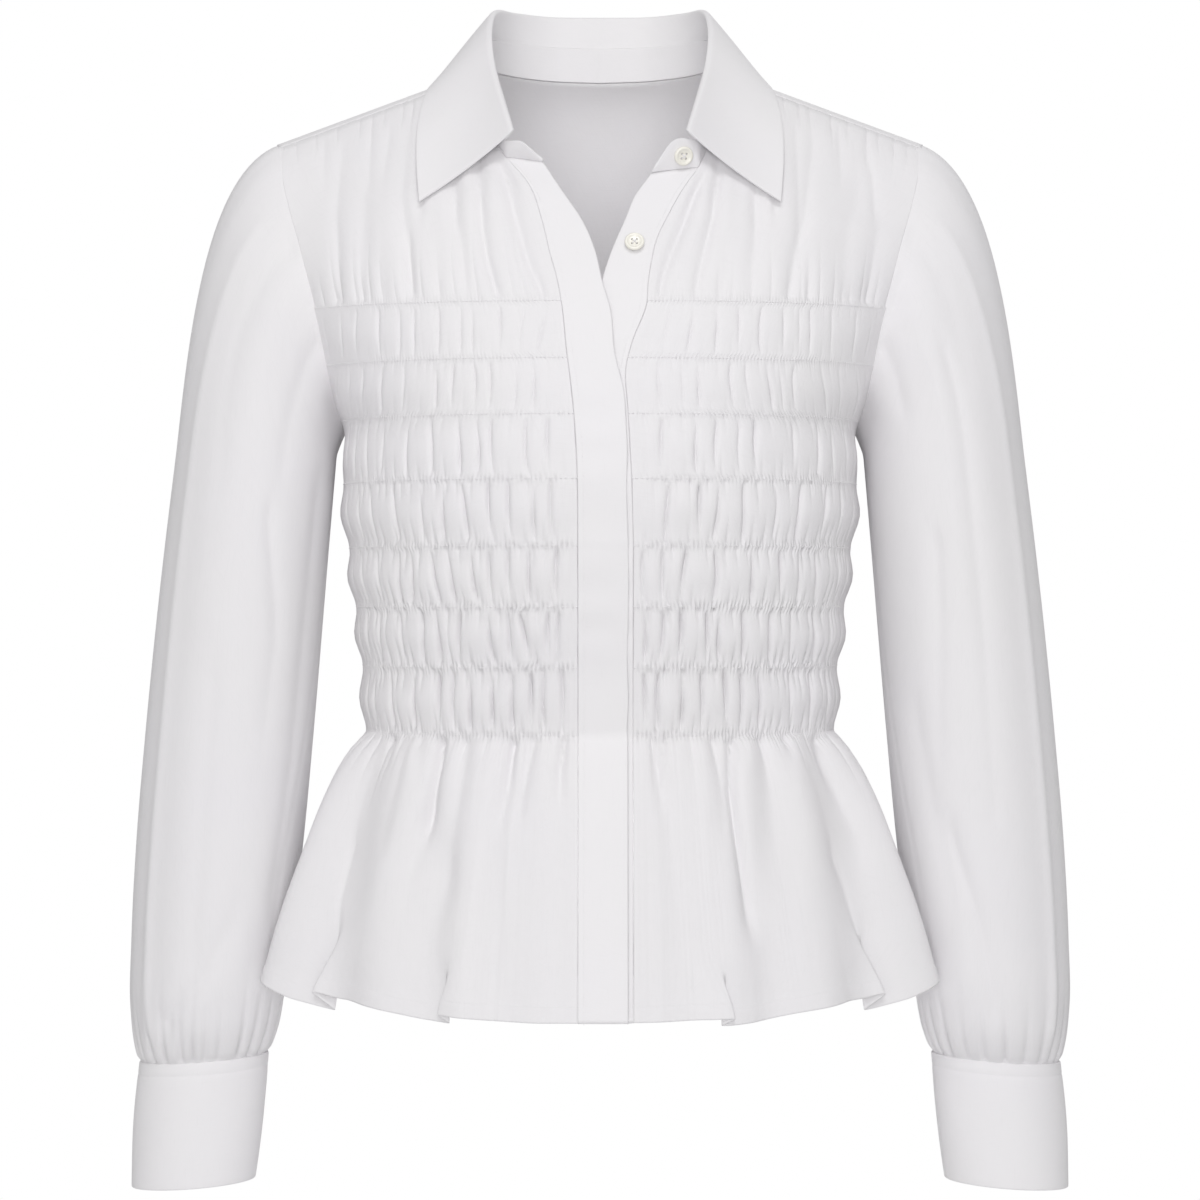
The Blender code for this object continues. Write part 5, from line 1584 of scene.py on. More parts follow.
def sleeve_grid(side):
    """A sleeve as a tube of points, drawn as if it were the wearer's right one."""
    rng = np.random.default_rng(SLEEVE_SEEDS[side])
    share = np.arange(SLEEVE_COLUMNS) / SLEEVE_COLUMNS
    v = np.concatenate([[0, 0.008, 0.02], np.linspace(0.045, 1, 34)])[:-1]
    wide_steps, close_steps = np.arange(-225, -528, -5.5), np.arange(-530, -581.4, -2.2)
    heights = np.concatenate([wide_steps, close_steps, [-581.9, -583.6]])
    smooth = np.concatenate([
        sleeve_cap(side, share[None, :], v[:, None]), arm_ring(share[None, :], heights[:, None])
    ])
    looped = np.concatenate([smooth[:, -1:], smooth, smooth[:, :1]], axis=1)
    out = facing(looped, 1)[:, 1:-1]
    angle = np.broadcast_to(share * 360, smooth.shape[:2])
    z = smooth[..., 2]
    relief = SLEEVE_SOFTNESS * creases(angle, z, SLEEVE_FOLDS[side])
    arcs = run_lengths(smooth, 1)
    places = np.array([0.0, *uneven_places(rng, 0.0, 1.0, *CUFF_GATHERS), 1.0])
    strengths = rng.uniform(0.5, 1.25, len(places))
    strengths[-1] = strengths[0]
    around = np.concatenate([share, [1.0]])
    for r, height in enumerate(heights, start=len(v)):
        up = max(height - CUFF_EDGE, 0)
        if up < GATHERED_UP_TO:
            rise = (1 - math.exp(-up / 3)) * math.exp(-((up / 26) ** 1.4))
            ring = np.append(arcs[r], arcs[r, -1] + arcs[r, 1])
            firm = strengths * math.exp(-up / 30)
            relief[r] += GATHERED_SWELL * pillows(around, ring, places, firm, rise, rise**0.5)[:-1]
            relief[r] -= GATHERED_SINK * math.exp(-((up / 2.2) ** 2))
    from_own_seam = ROUND_ARM * np.abs(share[None, :] - np.interp(z, *zip(*SLEEVE_SEAM)))
    relief -= SLEEVE_SEAM_DIP * np.exp(-((from_own_seam / SLEEVE_SEAM_REACH) ** 2)) * (z < -226)
    relief *= ease(np.concatenate([v, np.ones(len(heights))]) / 0.05)[:, None]
    inward = unit(-(smooth[:1] - (0, SIDE_SEAM_Y, 0)) * (1, 1, 0))
    from_seam = np.linalg.norm(smooth - smooth[:1], axis=-1, keepdims=True)
    tuck = TUCK * np.exp(-((from_seam / TUCK_REACH) ** 2))
    points = smooth + out * relief[..., None] + inward * tuck
    back_along = unit(smooth[:1] - smooth[2:3])
    return np.concatenate([points[:1] + back_along * ALLOWANCE + inward * 0.3, points])


sleeves = {}
for side in SIGN:
    sleeves[side] = mirrored(sleeve_grid(side), side)
    name = f"sleeve_{side}"
    piece = cloth_mesh(
        name + "_cloth", sleeves[side], CLOTH_WALL, BODY_COTTON, closed=True, flip=side == "left"
    )
    belongs(piece, name)

# %% [markdown]
# ## The cuffs
#
# A cuff is a deep band of two layers with interlining between them, folded at the wrist.
# Its section is drawn right round: down the outer layer, round the fold, up the lining and
# over the top edge, where the gathers go in. One line of stitching runs below that edge.

# %% Make the cuffs
# the two rims: x, y, z of the middle, half width, half depth
CUFF_TOP = (237.2, -2, -582.2, 38.6, 33.5)
CUFF_HEM = (243.6, -2, -657.6, 37.0, 31.5)
CUFF_TILT = -0.07
CUFF_WALL = 1.8
CUFF_COLUMNS = 120
CUFF_STITCH_DOWN, CUFF_STITCH_DIP = 7.6, 0.3
CUFF_BULGE = 0.8
# how far the two waves round the cuff go, and where the wider one starts on each side
WIDE_WAVE, SMALL_WAVE, WAVE_START = 0.5, 0.25, {"right": 0.6, "left": 2.0}


def cuff_section():
    """Down the outer face, round the fold, up the lining and over the top: (down, in)."""
    tall = CUFF_TOP[2] - CUFF_HEM[2]
    half = CUFF_WALL / 2
    turn = np.linspace(0, math.pi, 9)
    stitched = [CUFF_STITCH_DOWN - 0.9, CUFF_STITCH_DOWN, CUFF_STITCH_DOWN + 0.9]
    face = np.unique(np.concatenate([np.linspace(half, tall - half, 22), stitched]))
    outer = [(down, 0.0) for down in face]
    fold = [(tall - half + half * math.sin(a), half - half * math.cos(a)) for a in turn[1:-1]]
    lining = [(down, CUFF_WALL) for down in np.linspace(tall - half, half, 14)]
    top = [(half - half * math.sin(a), half + half * math.cos(a)) for a in turn[1:]]
    return np.array(outer + fold + lining + top)


def cuff_grid(side):
    """A cuff as rings of points, drawn as if it were the wearer's right one."""
    turn = 2 * math.pi * np.arange(CUFF_COLUMNS) / CUFF_COLUMNS
    rows = []
    for down, inward in cuff_section():
        t = down / (CUFF_TOP[2] - CUFF_HEM[2])
        x, y, z, half_width, half_depth = np.array(CUFF_TOP) * (1 - t) + np.array(CUFF_HEM) * t
        lean = WIDE_WAVE * np.sin(2 * turn + WAVE_START[side]) * math.sin(math.pi * t)
        lean += SMALL_WAVE * np.sin(5 * turn + 3 * t) * math.sin(math.pi * t)
        bulge = CUFF_BULGE * math.sin(math.pi * min(max(t, 0), 1)) + lean - inward
        if inward == 0:
            bulge = bulge - CUFF_STITCH_DIP * math.exp(-(((down - CUFF_STITCH_DOWN) / 0.8) ** 2))
        across, ahead = (half_width + bulge) * np.cos(turn), (half_depth + bulge) * np.sin(turn)
        rows.append(np.stack([x + across, y - ahead, z + CUFF_TILT * across], -1))
    return np.array(rows)


def close_section(piece):
    """Join the first and last row of a section that was drawn right round."""
    work = bmesh.new()
    work.from_mesh(piece.data)
    bmesh.ops.remove_doubles(work, verts=work.verts, dist=1e-6)
    work.to_mesh(piece.data)
    work.free()


cuffs = {}
for side in SIGN:
    cuffs[side] = mirrored(cuff_grid(side), side)
    name = f"cuff_{side}"
    piece = cloth_mesh(name + "_cloth", cuffs[side], None, CRISP_COTTON, closed=True, flip=side == "left")
    close_section(piece)
    belongs(piece, name)

# %% [markdown]
# ## The fly and the button band
#
# The wearer's right front ends in a fly: a flat folded strip that hides the buttons. Its
# mate, the button band, lies behind it and shows only in the open neck. Both are several
# layers thick, so they stay flat where the panels beside them are gathered.

# %% Make the two bands
BAND_PROUD = {"right": 0.15, "left": -1.4}
BAND_CROWN = 0.3
UNDER_BAND_SINK, SINK_FROM, SINK_OVER = 1.0, -330, 60
BAND_TILT = -4.0
BAND_GAP = 0.04
BAND_WALL = {"right": 1.0, "left": 0.8}
BAND_STEP = 2.4
BAND_COLUMNS = np.concatenate([[0, 0.03, 0.07], np.linspace(0.12, 0.9, 10), [0.94, 0.975, 1]])
# the ripples of a band where it is shirred, and how far it is pressed in at three places
BAND_RIPPLE, EDGE_RIPPLE = 0.3, 0.35
BAND_PRESSED = ((1, 0.04, 0.25), (0, 0.04, 0.08), (0.09, 0.035, 0.15))


def band_point(side, height, across):
    """A point of a front band; across is 0 at its seam and 1 at its free edge."""
    height, across = np.broadcast_arrays(height, across)
    table = BANDS[side]
    top = max(row[0] for row in table)
    seam, edge, seam_depth, edge_depth = np.moveaxis(read(table, height), -1, 0)
    share = peplum_share(height)
    body_depth = np.where(share > 0, read(PEPLUM, share)[..., 1], read(BODY, height)[..., 1])
    body_depth = body_depth + BAND_PROUD[side]
    below_table = height < min(row[0] for row in table)
    seam_depth = np.where(below_table, body_depth, seam_depth)
    edge_depth = np.where(below_table, body_depth, edge_depth)
    x = seam - BAND_GAP + (edge - seam + BAND_GAP) * across
    depth = seam_depth + (edge_depth - seam_depth) * across + BAND_CROWN * 4 * across * (1 - across)
    if side == "left":
        depth = depth - UNDER_BAND_SINK * ease((SINK_FROM - height) / SINK_OVER)
    tilt = BAND_TILT * ease((height - ELASTIC_ROWS[0]) / (top - ELASTIC_ROWS[0]))
    return np.stack([x, -depth, height + tilt * across], -1)


def band_grid(side):
    """A band as a grid of points, drawn as if it were on the wearer's right."""
    top = max(row[0] for row in BANDS[side]) - BAND_GAP
    hem = ELASTIC_ROWS[-1] - HEM_FALL
    height = np.linspace(top, hem, round((top - hem) / BAND_STEP) + 1)[:, None]
    across = BAND_COLUMNS[None, :]
    smooth = band_point(side, height, across)
    out = facing(smooth, -1)
    out *= np.where(out[..., 1:2] > 0, -1, 1)
    shirred = (height < ELASTIC_ROWS[0]) & (height > ELASTIC_ROWS[-1])
    ripple = np.sin(height / 5.1 + 1.5 * np.sin(height / 17)) * shirred
    relief = BAND_RIPPLE * ripple * ease((1 - across) / 0.5)
    for place, reach, depth in BAND_PRESSED:
        relief = relief - depth * np.exp(-(((across - place) / reach) ** 2))
    points = smooth + out * relief[..., None]
    edge = np.sin(height / 9 + 2 * np.sin(height / 31)) * shirred
    points[..., 0] += EDGE_RIPPLE * edge * across**3
    return with_allowance(points, unit(smooth[:1] - smooth[1:2]), -out[:1], 0.6)


bands = {}
for side, node in (("right", "fly_placket"), ("left", "button_band")):
    bands[side] = mirrored(band_grid(side), side)
    piece = cloth_mesh(f"{node}_cloth", bands[side], BAND_WALL[side], CRISP_COTTON, flip=side == "left")
    belongs(piece, node)

# %% [markdown]
# ## The collar
#
# A shirt collar is two pieces: a stand, which rises round the neck and ends in rounded
# tabs at the button, and a leaf, which is sewn to the stand's top and turns over it. The
# fold is a soft roll, not a knife edge, and the leaf then falls nearly straight to its
# points.

# %% Make the stand
# share from the middle of the back to the front end, then the stand's top edge x, y, z
STAND_TOP = (
    (0.00, 0, 69.5, 31.5), (0.14, 30, 65.5, 32), (0.27, 52, 49.5, 32), (0.39, 64.5, 26, 30.5),
    (0.50, 67.5, 5, 26), (0.58, 67.5, -11, 16), (0.68, 66, -30, -2), (0.78, 62, -49, -23),
    (0.89, 55, -70, -42),
)
TAB_TOP = {
    "right": ((0.93, 46, -75, -43.5), (0.965, 40.5, -76, -48), (1.00, 33.5, -74, -52.5)),
    "left": ((0.93, 46.5, -75, -41.5), (0.965, 40, -76.5, -45.5), (1.00, 31.5, -74, -57.5)),
}
STAND_END = {"right": (33, -73, -55), "left": (30, -73, -61)}
STAND_WALL = 1.2
STAND_HALF_COLUMNS, STAND_ROWS, CLOSER_TO_FRONT = 110, 15, 1.15
STAND_LIFT, STAND_BOW = 0.1, 0.5
PRESSED_CORNER = math.radians(50)


def stand_grid(side):
    """Half of the stand, from the middle of the back to its tab."""
    low_path = np.concatenate([
        along(NECK_BACK, np.linspace(0, 1, 25)),
        along(NECK_FRONT[side], np.linspace(0, 1, 25)),
        along((NECK_FRONT[side][-1], STAND_END[side]), np.linspace(0, 1, 7))[1:],
    ])
    share = 1 - (1 - np.linspace(0, 1, STAND_HALF_COLUMNS + 1)) ** CLOSER_TO_FRONT
    low = along(low_path, share)
    high = read(STAND_TOP + TAB_TOP[side], share)
    low = low + unit(high - low) * STAND_LIFT
    t = np.linspace(0, 1, STAND_ROWS)[:, None, None]
    points = high * (1 - t) + low * t
    outward = unit(np.cross(np.gradient(points, axis=1), low - high))
    return points + outward * (STAND_BOW * np.sin(math.pi * t))


def pressed_edges(piece, width):
    """Round the cut edges of an interlined piece, as pressing does."""
    bevel = piece.modifiers.new("pressed edges", "BEVEL")
    bevel.width = width * MM
    bevel.segments = 2
    bevel.limit_method = "ANGLE"
    bevel.angle_limit = PRESSED_CORNER


stand = both_halves({side: stand_grid(side) for side in SIGN})
stand_piece = cloth_mesh("collar_stand_cloth", stand, STAND_WALL, CRISP_COTTON, flip=True)
pressed_edges(stand_piece, 0.3)
belongs(stand_piece, "collar_stand")

# %% [markdown]
# The leaf starts on the inside of the stand, rises to its fold and rolls over it on a small
# round. Then it falls to its outer edge, bowed out a little at the back and pulled in at
# the front, where its points lie close to the chest.

# %% Make the leaf
# the same share, then the fold that the leaf turns over
LEAF_FOLD = (
    (0.00, 0, 74, 50.5), (0.14, 30, 71, 50.5), (0.27, 51, 54, 50), (0.39, 61.5, 30, 47.5),
    (0.50, 64.5, 8, 36.5), (0.58, 64.5, -8, 24.5), (0.68, 62, -28, 5.5), (0.78, 56.5, -50, -17),
    (0.89, 50.5, -73, -38),
)
# the same share, then the leaf's outer edge down to its point
LEAF_EDGE = (
    (0.00, 0, 93, 3), (0.14, 42, 87, 2), (0.27, 78, 64, 1), (0.39, 97, 32, 1.5),
    (0.50, 101, 5, 1.0), (0.58, 104, -13.5, -6.5), (0.68, 107.5, -34.5, -27),
    (0.78, 107.5, -53.5, -50), (0.89, 105, -74, -77.5),
)
LEAF_SHARE = 0.89
LEAF_FOLD_RADIUS = 2.4
# the shares of the rows at which the fold starts and ends
FOLD_STARTS, FOLD_ENDS = 0.2, 0.4
# how far the leaf bows out between its fold and its edge, by share
LEAF_BOW = ((0.0, 0.8), (0.5, 0.8), (0.68, -2.4), (0.89, -4.6))
LEAF_WALL = 1.1
LEAF_HALF_COLUMNS = 84


def leaf_foot(share, fold):
    """The leaf's sewn edge: over the stand's inner face and clear of its top."""
    top = read(STAND_TOP, share)
    inward = -unit(top * np.array([1.0, 1.0, 0.0]))
    foot = top + inward * 0.2
    up = unit(fold - foot)
    lean = np.clip(-np.sum(up * inward, -1, keepdims=True), 0, 1)
    return foot + up * (0.15 + 1.0 * lean)


def leaf(share, v):
    """One half of the leaf: up from the stand, over the fold and down to its edge."""
    share, v = np.broadcast_arrays(share, v)
    fold, edge = read(LEAF_FOLD, share), read(LEAF_EDGE, share)
    foot = leaf_foot(share, fold)
    up, down = unit(fold - foot), unit(edge - fold)
    across = unit(down - np.sum(down * up, -1, keepdims=True) * up)
    centre = fold + LEAF_FOLD_RADIUS * across
    turn = np.arccos(np.clip(np.sum(up * down, -1, keepdims=True), -1, 1))

    def on_arc(angle):
        """A point of the fold's round."""
        return centre + LEAF_FOLD_RADIUS * (np.sin(angle) * up - np.cos(angle) * across)

    t = v[..., None]
    rise = foot + (fold - foot) * np.clip(t / FOLD_STARTS, 0, 1)
    arc = on_arc(turn * np.clip((t - FOLD_STARTS) / (FOLD_ENDS - FOLD_STARTS), 0, 1))
    fall_share = np.clip((t - FOLD_ENDS) / (1 - FOLD_ENDS), 0, 1)
    away = np.sin(turn) * up - np.cos(turn) * across
    bow = away * read(LEAF_BOW, share) * 4 * fall_share * (1 - fall_share)
    fall = on_arc(turn) + (edge - on_arc(turn)) * fall_share + bow
    return np.where(t < FOLD_STARTS, rise, np.where(t < FOLD_ENDS, arc, fall))


leaf_share = np.linspace(0, LEAF_SHARE, LEAF_HALF_COLUMNS + 1)[None, :]
leaf_rows = np.concatenate([
    np.linspace(0, FOLD_STARTS, 6),
    np.linspace(FOLD_STARTS, FOLD_ENDS, 10)[1:],
    np.linspace(FOLD_ENDS, 1, 34)[1:],
])[:, None]
leaf_points = both_halves({side: leaf(leaf_share, leaf_rows) for side in SIGN})
leaf_piece = cloth_mesh("collar_leaf_cloth", leaf_points, LEAF_WALL, CRISP_COTTON, flip=True)
pressed_edges(leaf_piece, 0.35)
belongs(leaf_piece, "collar_leaf")

# %% [markdown]
# ## The buttons
#
# Two small four-hole buttons show: one on the stand and one on the band in the open neck.
# A button is turned, so it is a profile spun round an axis: a rim, a dish with a soft step
# and a rounded edge. Four holes are cut through, and thread crosses between them.

# %% The button's finish
PEARL_DULLEST, PEARL_SPREAD = 0.24, 0.14
pearl, tree, pearl_inputs = new_finish("pearly cream", {"Coat Weight": 0.35, "Coat Roughness": 0.15})
shades = use(tree, clouds, Cool=(0.84, 0.82, 0.75, 1), Warm=(0.9, 0.875, 0.8, 1), Width=0.0022)
tree.links.new(shades["Colour"], pearl_inputs["Base Color"])
dull = maths(tree, "MULTIPLY_ADD", shades["Mask"], PEARL_SPREAD, PEARL_DULLEST)
tree.links.new(dull, pearl_inputs["Roughness"])
bumped(tree, pearl_inputs, shades["Mask"], 0.2, 0.0002)
print("button finish:", pearl.name)

# %% [markdown]
# The blank is turned on a lathe first, and its four holes are drilled after that.

# %% Turn a button and cut its holes
BUTTON_THICKNESS = 2.6
BUTTON_PROFILE = (
    (0, 1.9), (3.2, 1.9), (3.7, 2.05), (4.0, 2.4), (4.3, 2.58), (4.8, 2.6), (5.3, 2.45),
    (5.6, 2.1), (5.7, 1.6), (5.65, 1.1), (5.4, 0.6), (4.8, 0.15), (4.0, 0), (0, 0),
)
BUTTON_SIDES, HOLE_SIDES = 48, 16
HOLE_RADIUS, HOLE_OFFSET, PIN_LENGTH = 0.62, 1.35, 12


def as_mesh(name, working):
    """Plain mesh data from a mesh that is being worked on."""
    mesh = bpy.data.meshes.new(name)
    working.to_mesh(mesh)
    working.free()
    return mesh


def spun_button():
    """The button's profile turned round its axis."""
    profile = bmesh.new()
    verts = [profile.verts.new((x * MM, 0, z * MM)) for x, z in BUTTON_PROFILE]
    edges = [profile.edges.new(pair) for pair in zip(verts, verts[1:])]
    bmesh.ops.spin(
        profile, geom=verts + edges, axis=(0, 0, 1), cent=(0, 0, 0), angle=2 * math.pi,
        steps=BUTTON_SIDES,
    )
    bmesh.ops.remove_doubles(profile, verts=profile.verts, dist=1e-6)
    bmesh.ops.recalc_face_normals(profile, faces=profile.faces)
    return as_mesh("turned button", profile)


def hole_pins():
    """Four pins that stand where the holes are drilled."""
    pins = bmesh.new()
    for x in (-HOLE_OFFSET, HOLE_OFFSET):
        for y in (-HOLE_OFFSET, HOLE_OFFSET):
            place = Matrix.Translation((x * MM, y * MM, BUTTON_THICKNESS / 2 * MM))
            bmesh.ops.create_cone(
                pins, cap_ends=True, segments=HOLE_SIDES, matrix=place, depth=PIN_LENGTH * MM,
                radius1=HOLE_RADIUS * MM, radius2=HOLE_RADIUS * MM,
            )
    return as_mesh("hole pins", pins)


def made_mesh(thing):
    """The mesh that an object's modifiers give, as plain mesh data."""
    bpy.context.view_layer.update()
    return bpy.data.meshes.new_from_object(thing.evaluated_get(bpy.context.evaluated_depsgraph_get()))


def drilled_button():
    """A turned button with its four holes."""
    button, pins = placed("button blank", spun_button()), placed("pins", hole_pins())
    cut = button.modifiers.new("sewing holes", "BOOLEAN")
    cut.operation, cut.object = "DIFFERENCE", pins
    mesh = made_mesh(button)
    for thing in (button, pins):
        bpy.data.objects.remove(thing)
    return mesh


print("a button is", 2 * max(x for x, z in BUTTON_PROFILE), "mm wide with holes of", 2 * HOLE_RADIUS, "mm")

# %% [markdown]
# A strand comes up through one hole, crosses the dish and goes down through the hole
# opposite, and the second strand crosses over the first. A button takes its place from its
# solid, and the way it faces from the cloth below it.

# %% Sew the two buttons on
THREAD_RADIUS = 0.28
# one strand, as (share of the way to a hole, height); both strands lift at the crossing
STRAND = ((1, -0.9), (1, 1.6), (0.75, 2.15), (0, 2.1), (-0.75, 2.15), (-1, 1.6), (-1, -0.9))
STRAND_LIFTS = ((1, 0.25), (-1, 0.75))
SHARP_EDGE = math.radians(50)


def drawn_lines(name, paths):
    """A curve through lists of points in millimetres."""
    curve = bpy.data.curves.new(name, "CURVE")
    curve.dimensions = "3D"
    for path in paths:
        spline = curve.splines.new("POLY")
        spline.points.add(len(path) - 1)
        flat = np.column_stack([np.array(path) * MM, np.ones(len(path))])
        spline.points.foreach_set("co", flat.ravel())
    return curve


def thread_cross():
    """Two strands of thread that cross between the holes, and a shank under the button."""
    out = HOLE_OFFSET
    strands = drawn_lines("thread cross", [
        [(-out * way, -out * way * turn, z + (lift if way == 0 else 0)) for way, z in STRAND]
        for turn, lift in STRAND_LIFTS
    ])
    strands.bevel_depth, strands.bevel_resolution = THREAD_RADIUS * MM, 2
    strands.use_fill_caps = True
    thing = placed("thread", strands)
    mesh = made_mesh(thing)
    bpy.data.objects.remove(thing)
    return mesh


def sew_on(name, centre, outward):
    """Put a button and its thread at a place, facing outward, with the place in the mesh."""
    turn = Vector(outward).to_track_quat("Z", "Y").to_matrix().to_4x4()
    sunk = Matrix.Translation((0, 0, -BUTTON_THICKNESS / 2 * MM))
    for label, mesh, finish, node, slot in (
        (name, drilled_button(), pearl, name, "button"),
        (f"{name}_thread", thread_cross(), SEWING_THREAD, None, "cloth"),
    ):
        mesh.transform(Matrix.Translation(centre) @ turn @ sunk)
        mesh.materials.clear()
        mesh.materials.append(finish)
        mesh.shade_smooth()
        if slot == "button":
            mesh.set_sharp_from_angle(angle=SHARP_EDGE)
        belongs(placed(f"{label}_piece", mesh), node)
    print(name, "at", [round(x, 4) for x in centre], "with", len(mesh.polygons), "faces of thread")


def seat(node, points):
    """The middle of a button's solid, and which way the cloth faces there."""
    low, high = (np.array(corner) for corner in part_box(node))
    centre = (low + high) / 2
    away = np.linalg.norm(points * MM - centre, axis=-1)
    outward = facing(points, 1)[np.unravel_index(np.argmin(away), away.shape)]
    return centre, outward if outward[1] < 0 else -outward


sew_on("button_chest", *seat("button_chest", bands["left"]))
sew_on("button_neck", *seat("button_neck", stand[:, STAND_HALF_COLUMNS:]))

# %% [markdown]
# ## Stitches
#
# A stitch is a short stretch of thread that dives into the cloth at both ends. Thousands
# of them follow the seams, the hem and the elastic, so a geometry-node tree makes them:
# it walks a path at the length of a stitch, puts a small pointed bead at each step and
# turns it along the path.

# %% A tree that sews along paths
STITCH, GAP_SHARE, UNEVENNESS = 2.4, 0.2, 0.25
BEAD_SEGMENTS, BEAD_RINGS = 4, 3


def stitch_tree():
    """A geometry-node tree that lays stitches along the paths it is given."""
    tree = bpy.data.node_groups.new("run of stitches", "GeometryNodeTree")
    sockets = {
        "Paths": ("Geometry", None), "Stitch": ("Float", STITCH * MM), "Gap": ("Float", 0.0005),
        "Thread": ("Float", 0.0002), "Unevenness": ("Float", UNEVENNESS), "Seed": ("Int", 5),
        "Finish": ("Material", None),
    }
    for label, (kind, value) in sockets.items():
        socket = tree.interface.new_socket(label, in_out="INPUT", socket_type="NodeSocket" + kind)
        if value is not None:
            socket.default_value = value
    tree.interface.new_socket("Stitches", in_out="OUTPUT", socket_type="NodeSocketGeometry")
    given = new_node(tree, "NodeGroupInput").outputs
    walk = {"Curve": given["Paths"], "Length": given["Stitch"]}
    steps = new_node(tree, "GeometryNodeCurveToPoints", mode="LENGTH")
    for label, value in walk.items():
        tree.links.new(value, steps.inputs[label])
    ball = {"Segments": BEAD_SEGMENTS, "Rings": BEAD_RINGS, "Radius": 1.0}
    bead = new_node(tree, "GeometryNodeMeshUVSphere", ball)
    along = {"Vector": steps.outputs["Tangent"]}
    turn = new_node(tree, "FunctionNodeAlignRotationToVector", along, axis="Z")
    low, high = (maths(tree, way, 1.0, given["Unevenness"]) for way in ("SUBTRACT", "ADD"))
    spread = {2: low, 3: high, "Seed": given["Seed"]}
    uneven = new_node(tree, "FunctionNodeRandomValue", spread, data_type="FLOAT")
    half_length = maths(tree, "MULTIPLY", maths(tree, "SUBTRACT", given["Stitch"], given["Gap"]), 0.5)
    thick = maths(tree, "MULTIPLY", given["Thread"], uneven.outputs[1])
    size = new_node(tree, "ShaderNodeCombineXYZ", {0: thick, 1: thick, 2: half_length})
    beads = {
        "Points": steps.outputs["Points"], "Instance": bead.outputs["Mesh"],
        "Rotation": turn.outputs["Rotation"], "Scale": size.outputs[0],
    }
    sewn_beads = new_node(tree, "GeometryNodeInstanceOnPoints", beads)
    real = new_node(tree, "GeometryNodeRealizeInstances", {0: sewn_beads.outputs["Instances"]})
    smooth = new_node(tree, "GeometryNodeSetShadeSmooth", {0: real.outputs[0]})
    coat = {"Geometry": smooth.outputs[0], "Material": given["Finish"]}
    paint = new_node(tree, "GeometryNodeSetMaterial", coat)
    new_node(tree, "NodeGroupOutput", {"Stitches": paint.outputs[0]})
    return tree


STITCHES = stitch_tree()
SOCKETS = {item.name: item.identifier for item in STITCHES.interface.items_tree if item.in_out == "INPUT"}
print("stitch tree inputs:", sorted(SOCKETS))

# %% [markdown]
# The tree's inputs are set before it runs for the first time. What it makes is then kept
# as plain mesh, a piece of its own for each panel, so that it can be cut with its panel.

# %% Sew along paths
def sewn(name, paths, stitch=STITCH, thread=0.16, seed=5):
    """Stitches along lists of points in millimetres, as one plain mesh."""
    guide = placed("guide", drawn_lines(name, paths))
    sewing = guide.modifiers.new("sewing", "NODES")
    sewing.node_group = STITCHES
    for label, value in {
        "Stitch": stitch * MM, "Gap": GAP_SHARE * stitch * MM, "Thread": thread * MM,
        "Unevenness": UNEVENNESS, "Seed": seed, "Finish": SEWING_THREAD,
    }.items():
        sewing[SOCKETS[label]] = value
    mesh = made_mesh(guide)
    bpy.data.objects.remove(guide)
    thing = placed(name, mesh)
    belongs(thing, None)
    print(f"{name}: {len(mesh.polygons)} faces")
    return thing


# %% [markdown]
# The elastic is a much thicker thread, and rides over the puckers that it has drawn up. The
# seams and the hem are sewn with the fine thread: the hem nine millimetres above its edge,
# the yoke just above its back seam, the bands beside their seams and each cuff in a ring.

# %% Stitch the elastic, the hem and the seams
ELASTIC_THREAD, ELASTIC_STITCH, ELASTIC_PROUD = 0.36, 2.1, 0.15
HEM_LINE = ELASTIC_ROWS[-1] - HEM_FALL + HEM_DEPTH
YOKE_SEAM_ROW, BAND_SEAM_COLUMN, CUFF_OUTSIDE_ROWS = -4, 3, 22
SEAM_STITCH, CUFF_STITCH = 2.2, 2.0


def row_at(points, levels, level):
    """The row of a grid that lies at a level."""
    return points[int(np.argmin(np.abs(np.asarray(levels) - level)))]


def over_puckers(row):
    """A line that rides over the puckers of a row instead of dipping into each of them."""
    padded = np.pad(row, ((2, 2), (0, 0)), mode="edge")
    level = sum(padded[i:i + len(row)] for i in range(COLUMNS_A_PUCKER + 1)) / (COLUMNS_A_PUCKER + 1)
    return level + unit((row - (0, SIDE_SEAM_Y, 0)) * (1, 1, 0)) * ELASTIC_PROUD


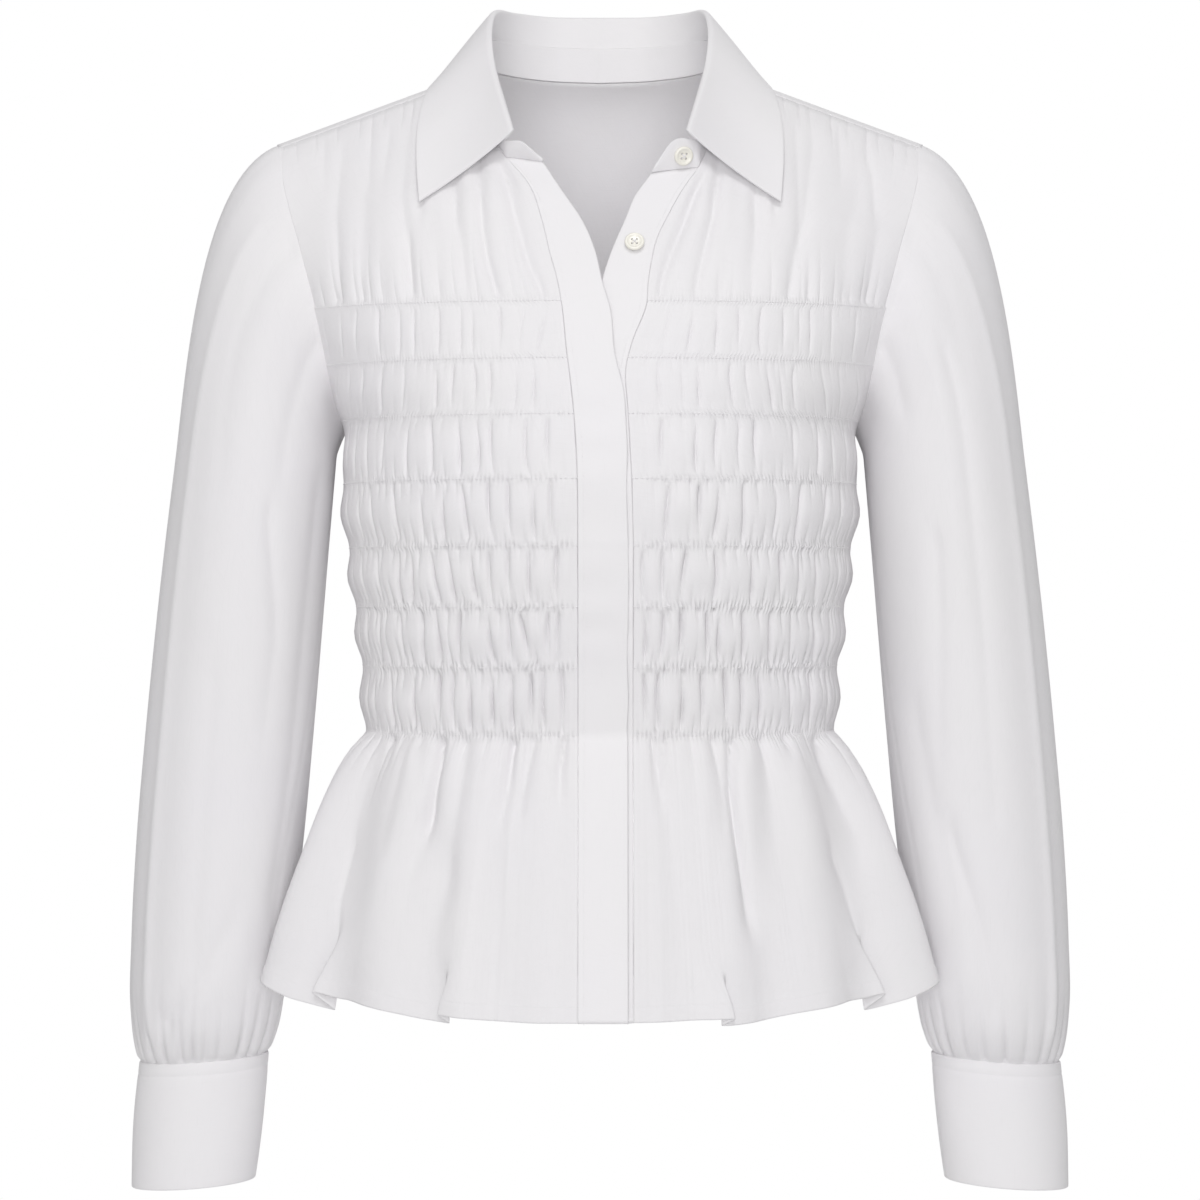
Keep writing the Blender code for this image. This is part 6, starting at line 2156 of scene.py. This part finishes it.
trim, elastic = {}, {}
for node, grid, levels in (
    ("front_right", fronts["right"], front_levels),
    ("front_left", fronts["left"], front_levels),
    ("back", back, back_levels),
):
    rows = [over_puckers(row_at(grid, levels, level)) for level in ELASTIC_ROWS]
    elastic[node] = sewn(f"{node}_elastic", rows, ELASTIC_STITCH, ELASTIC_THREAD, seed=3)
    trim[node] = sewn(f"{node}_stitches", [row_at(grid, levels, HEM_LINE)], seed=4)
trim["yoke"] = sewn("yoke_stitches", [yoke_points[YOKE_SEAM_ROW]], SEAM_STITCH)
for side, node in (("right", "fly_placket"), ("left", "button_band")):
    seam = bands[side][:, BAND_SEAM_COLUMN]
    trim[node] = sewn(f"{node}_stitches", [seam], SEAM_STITCH, seed=6)
for side in SIGN:
    ring = row_at(cuffs[side], cuff_section()[:CUFF_OUTSIDE_ROWS, 0], CUFF_STITCH_DOWN)
    closed = np.concatenate([ring, ring[:1]])
    trim[f"cuff_{side}"] = sewn(f"cuff_{side}_stitches", [closed], CUFF_STITCH, seed=7)

# %% [markdown]
# ## What each piece was cut to
#
# Cloth hardly stretches, so a maker knows each piece by its flat cut. The gathered pieces
# are cut wider than they lie. Each size here is the whole cut, width first, taken along the
# cloth of its own piece, over its puckers and folds. The bands, which are sewn double, have
# their finished size.

CUTS = {
    "front_right": ((0.35, 0.60), 0.150, "gathered", ("yoke", "fly_placket")),
    "front_left": ((0.35, 0.60), 0.150, "gathered", ("yoke", "button_band")),
    "back": ((0.60, 0.44), 0.225, "gathered", ("yoke",)),
    "yoke": ((0.47, 0.17), 0.060, "draped", ()),
    "sleeve_right": ((0.34, 0.57), 0.170, "gathered", ("yoke",)),
    "sleeve_left": ((0.34, 0.57), 0.170, "gathered", ("yoke",)),
    "cuff_right": ((0.225, 0.077), None, "folded", ("sleeve_right",)),
    "cuff_left": ((0.225, 0.077), None, "folded", ("sleeve_left",)),
    "fly_placket": ((0.03, 0.53), None, "folded", ("front_right",)),
    "button_band": ((0.03, 0.52), None, "folded", ("front_left",)),
    "collar_stand": ((0.48, 0.022), 0.0072, "folded", ("yoke",)),
    "collar_leaf": ((0.53, 0.08), 0.033, "folded", ("collar_stand",)),
}
BUTTON_ON = {"button_band": "button_chest", "collar_stand": "button_neck"}
for node, (flat, area, held, hangs_from) in CUTS.items():
    piece = bpy.data.objects[f"{node}_cloth"]
    extra = [sewing[node] for sewing in (trim, elastic) if node in sewing]
    if node in BUTTON_ON:
        extra.append(bpy.data.objects[f"{BUTTON_ON[node]}_thread_piece"])
print("sheets:", len(CUTS))
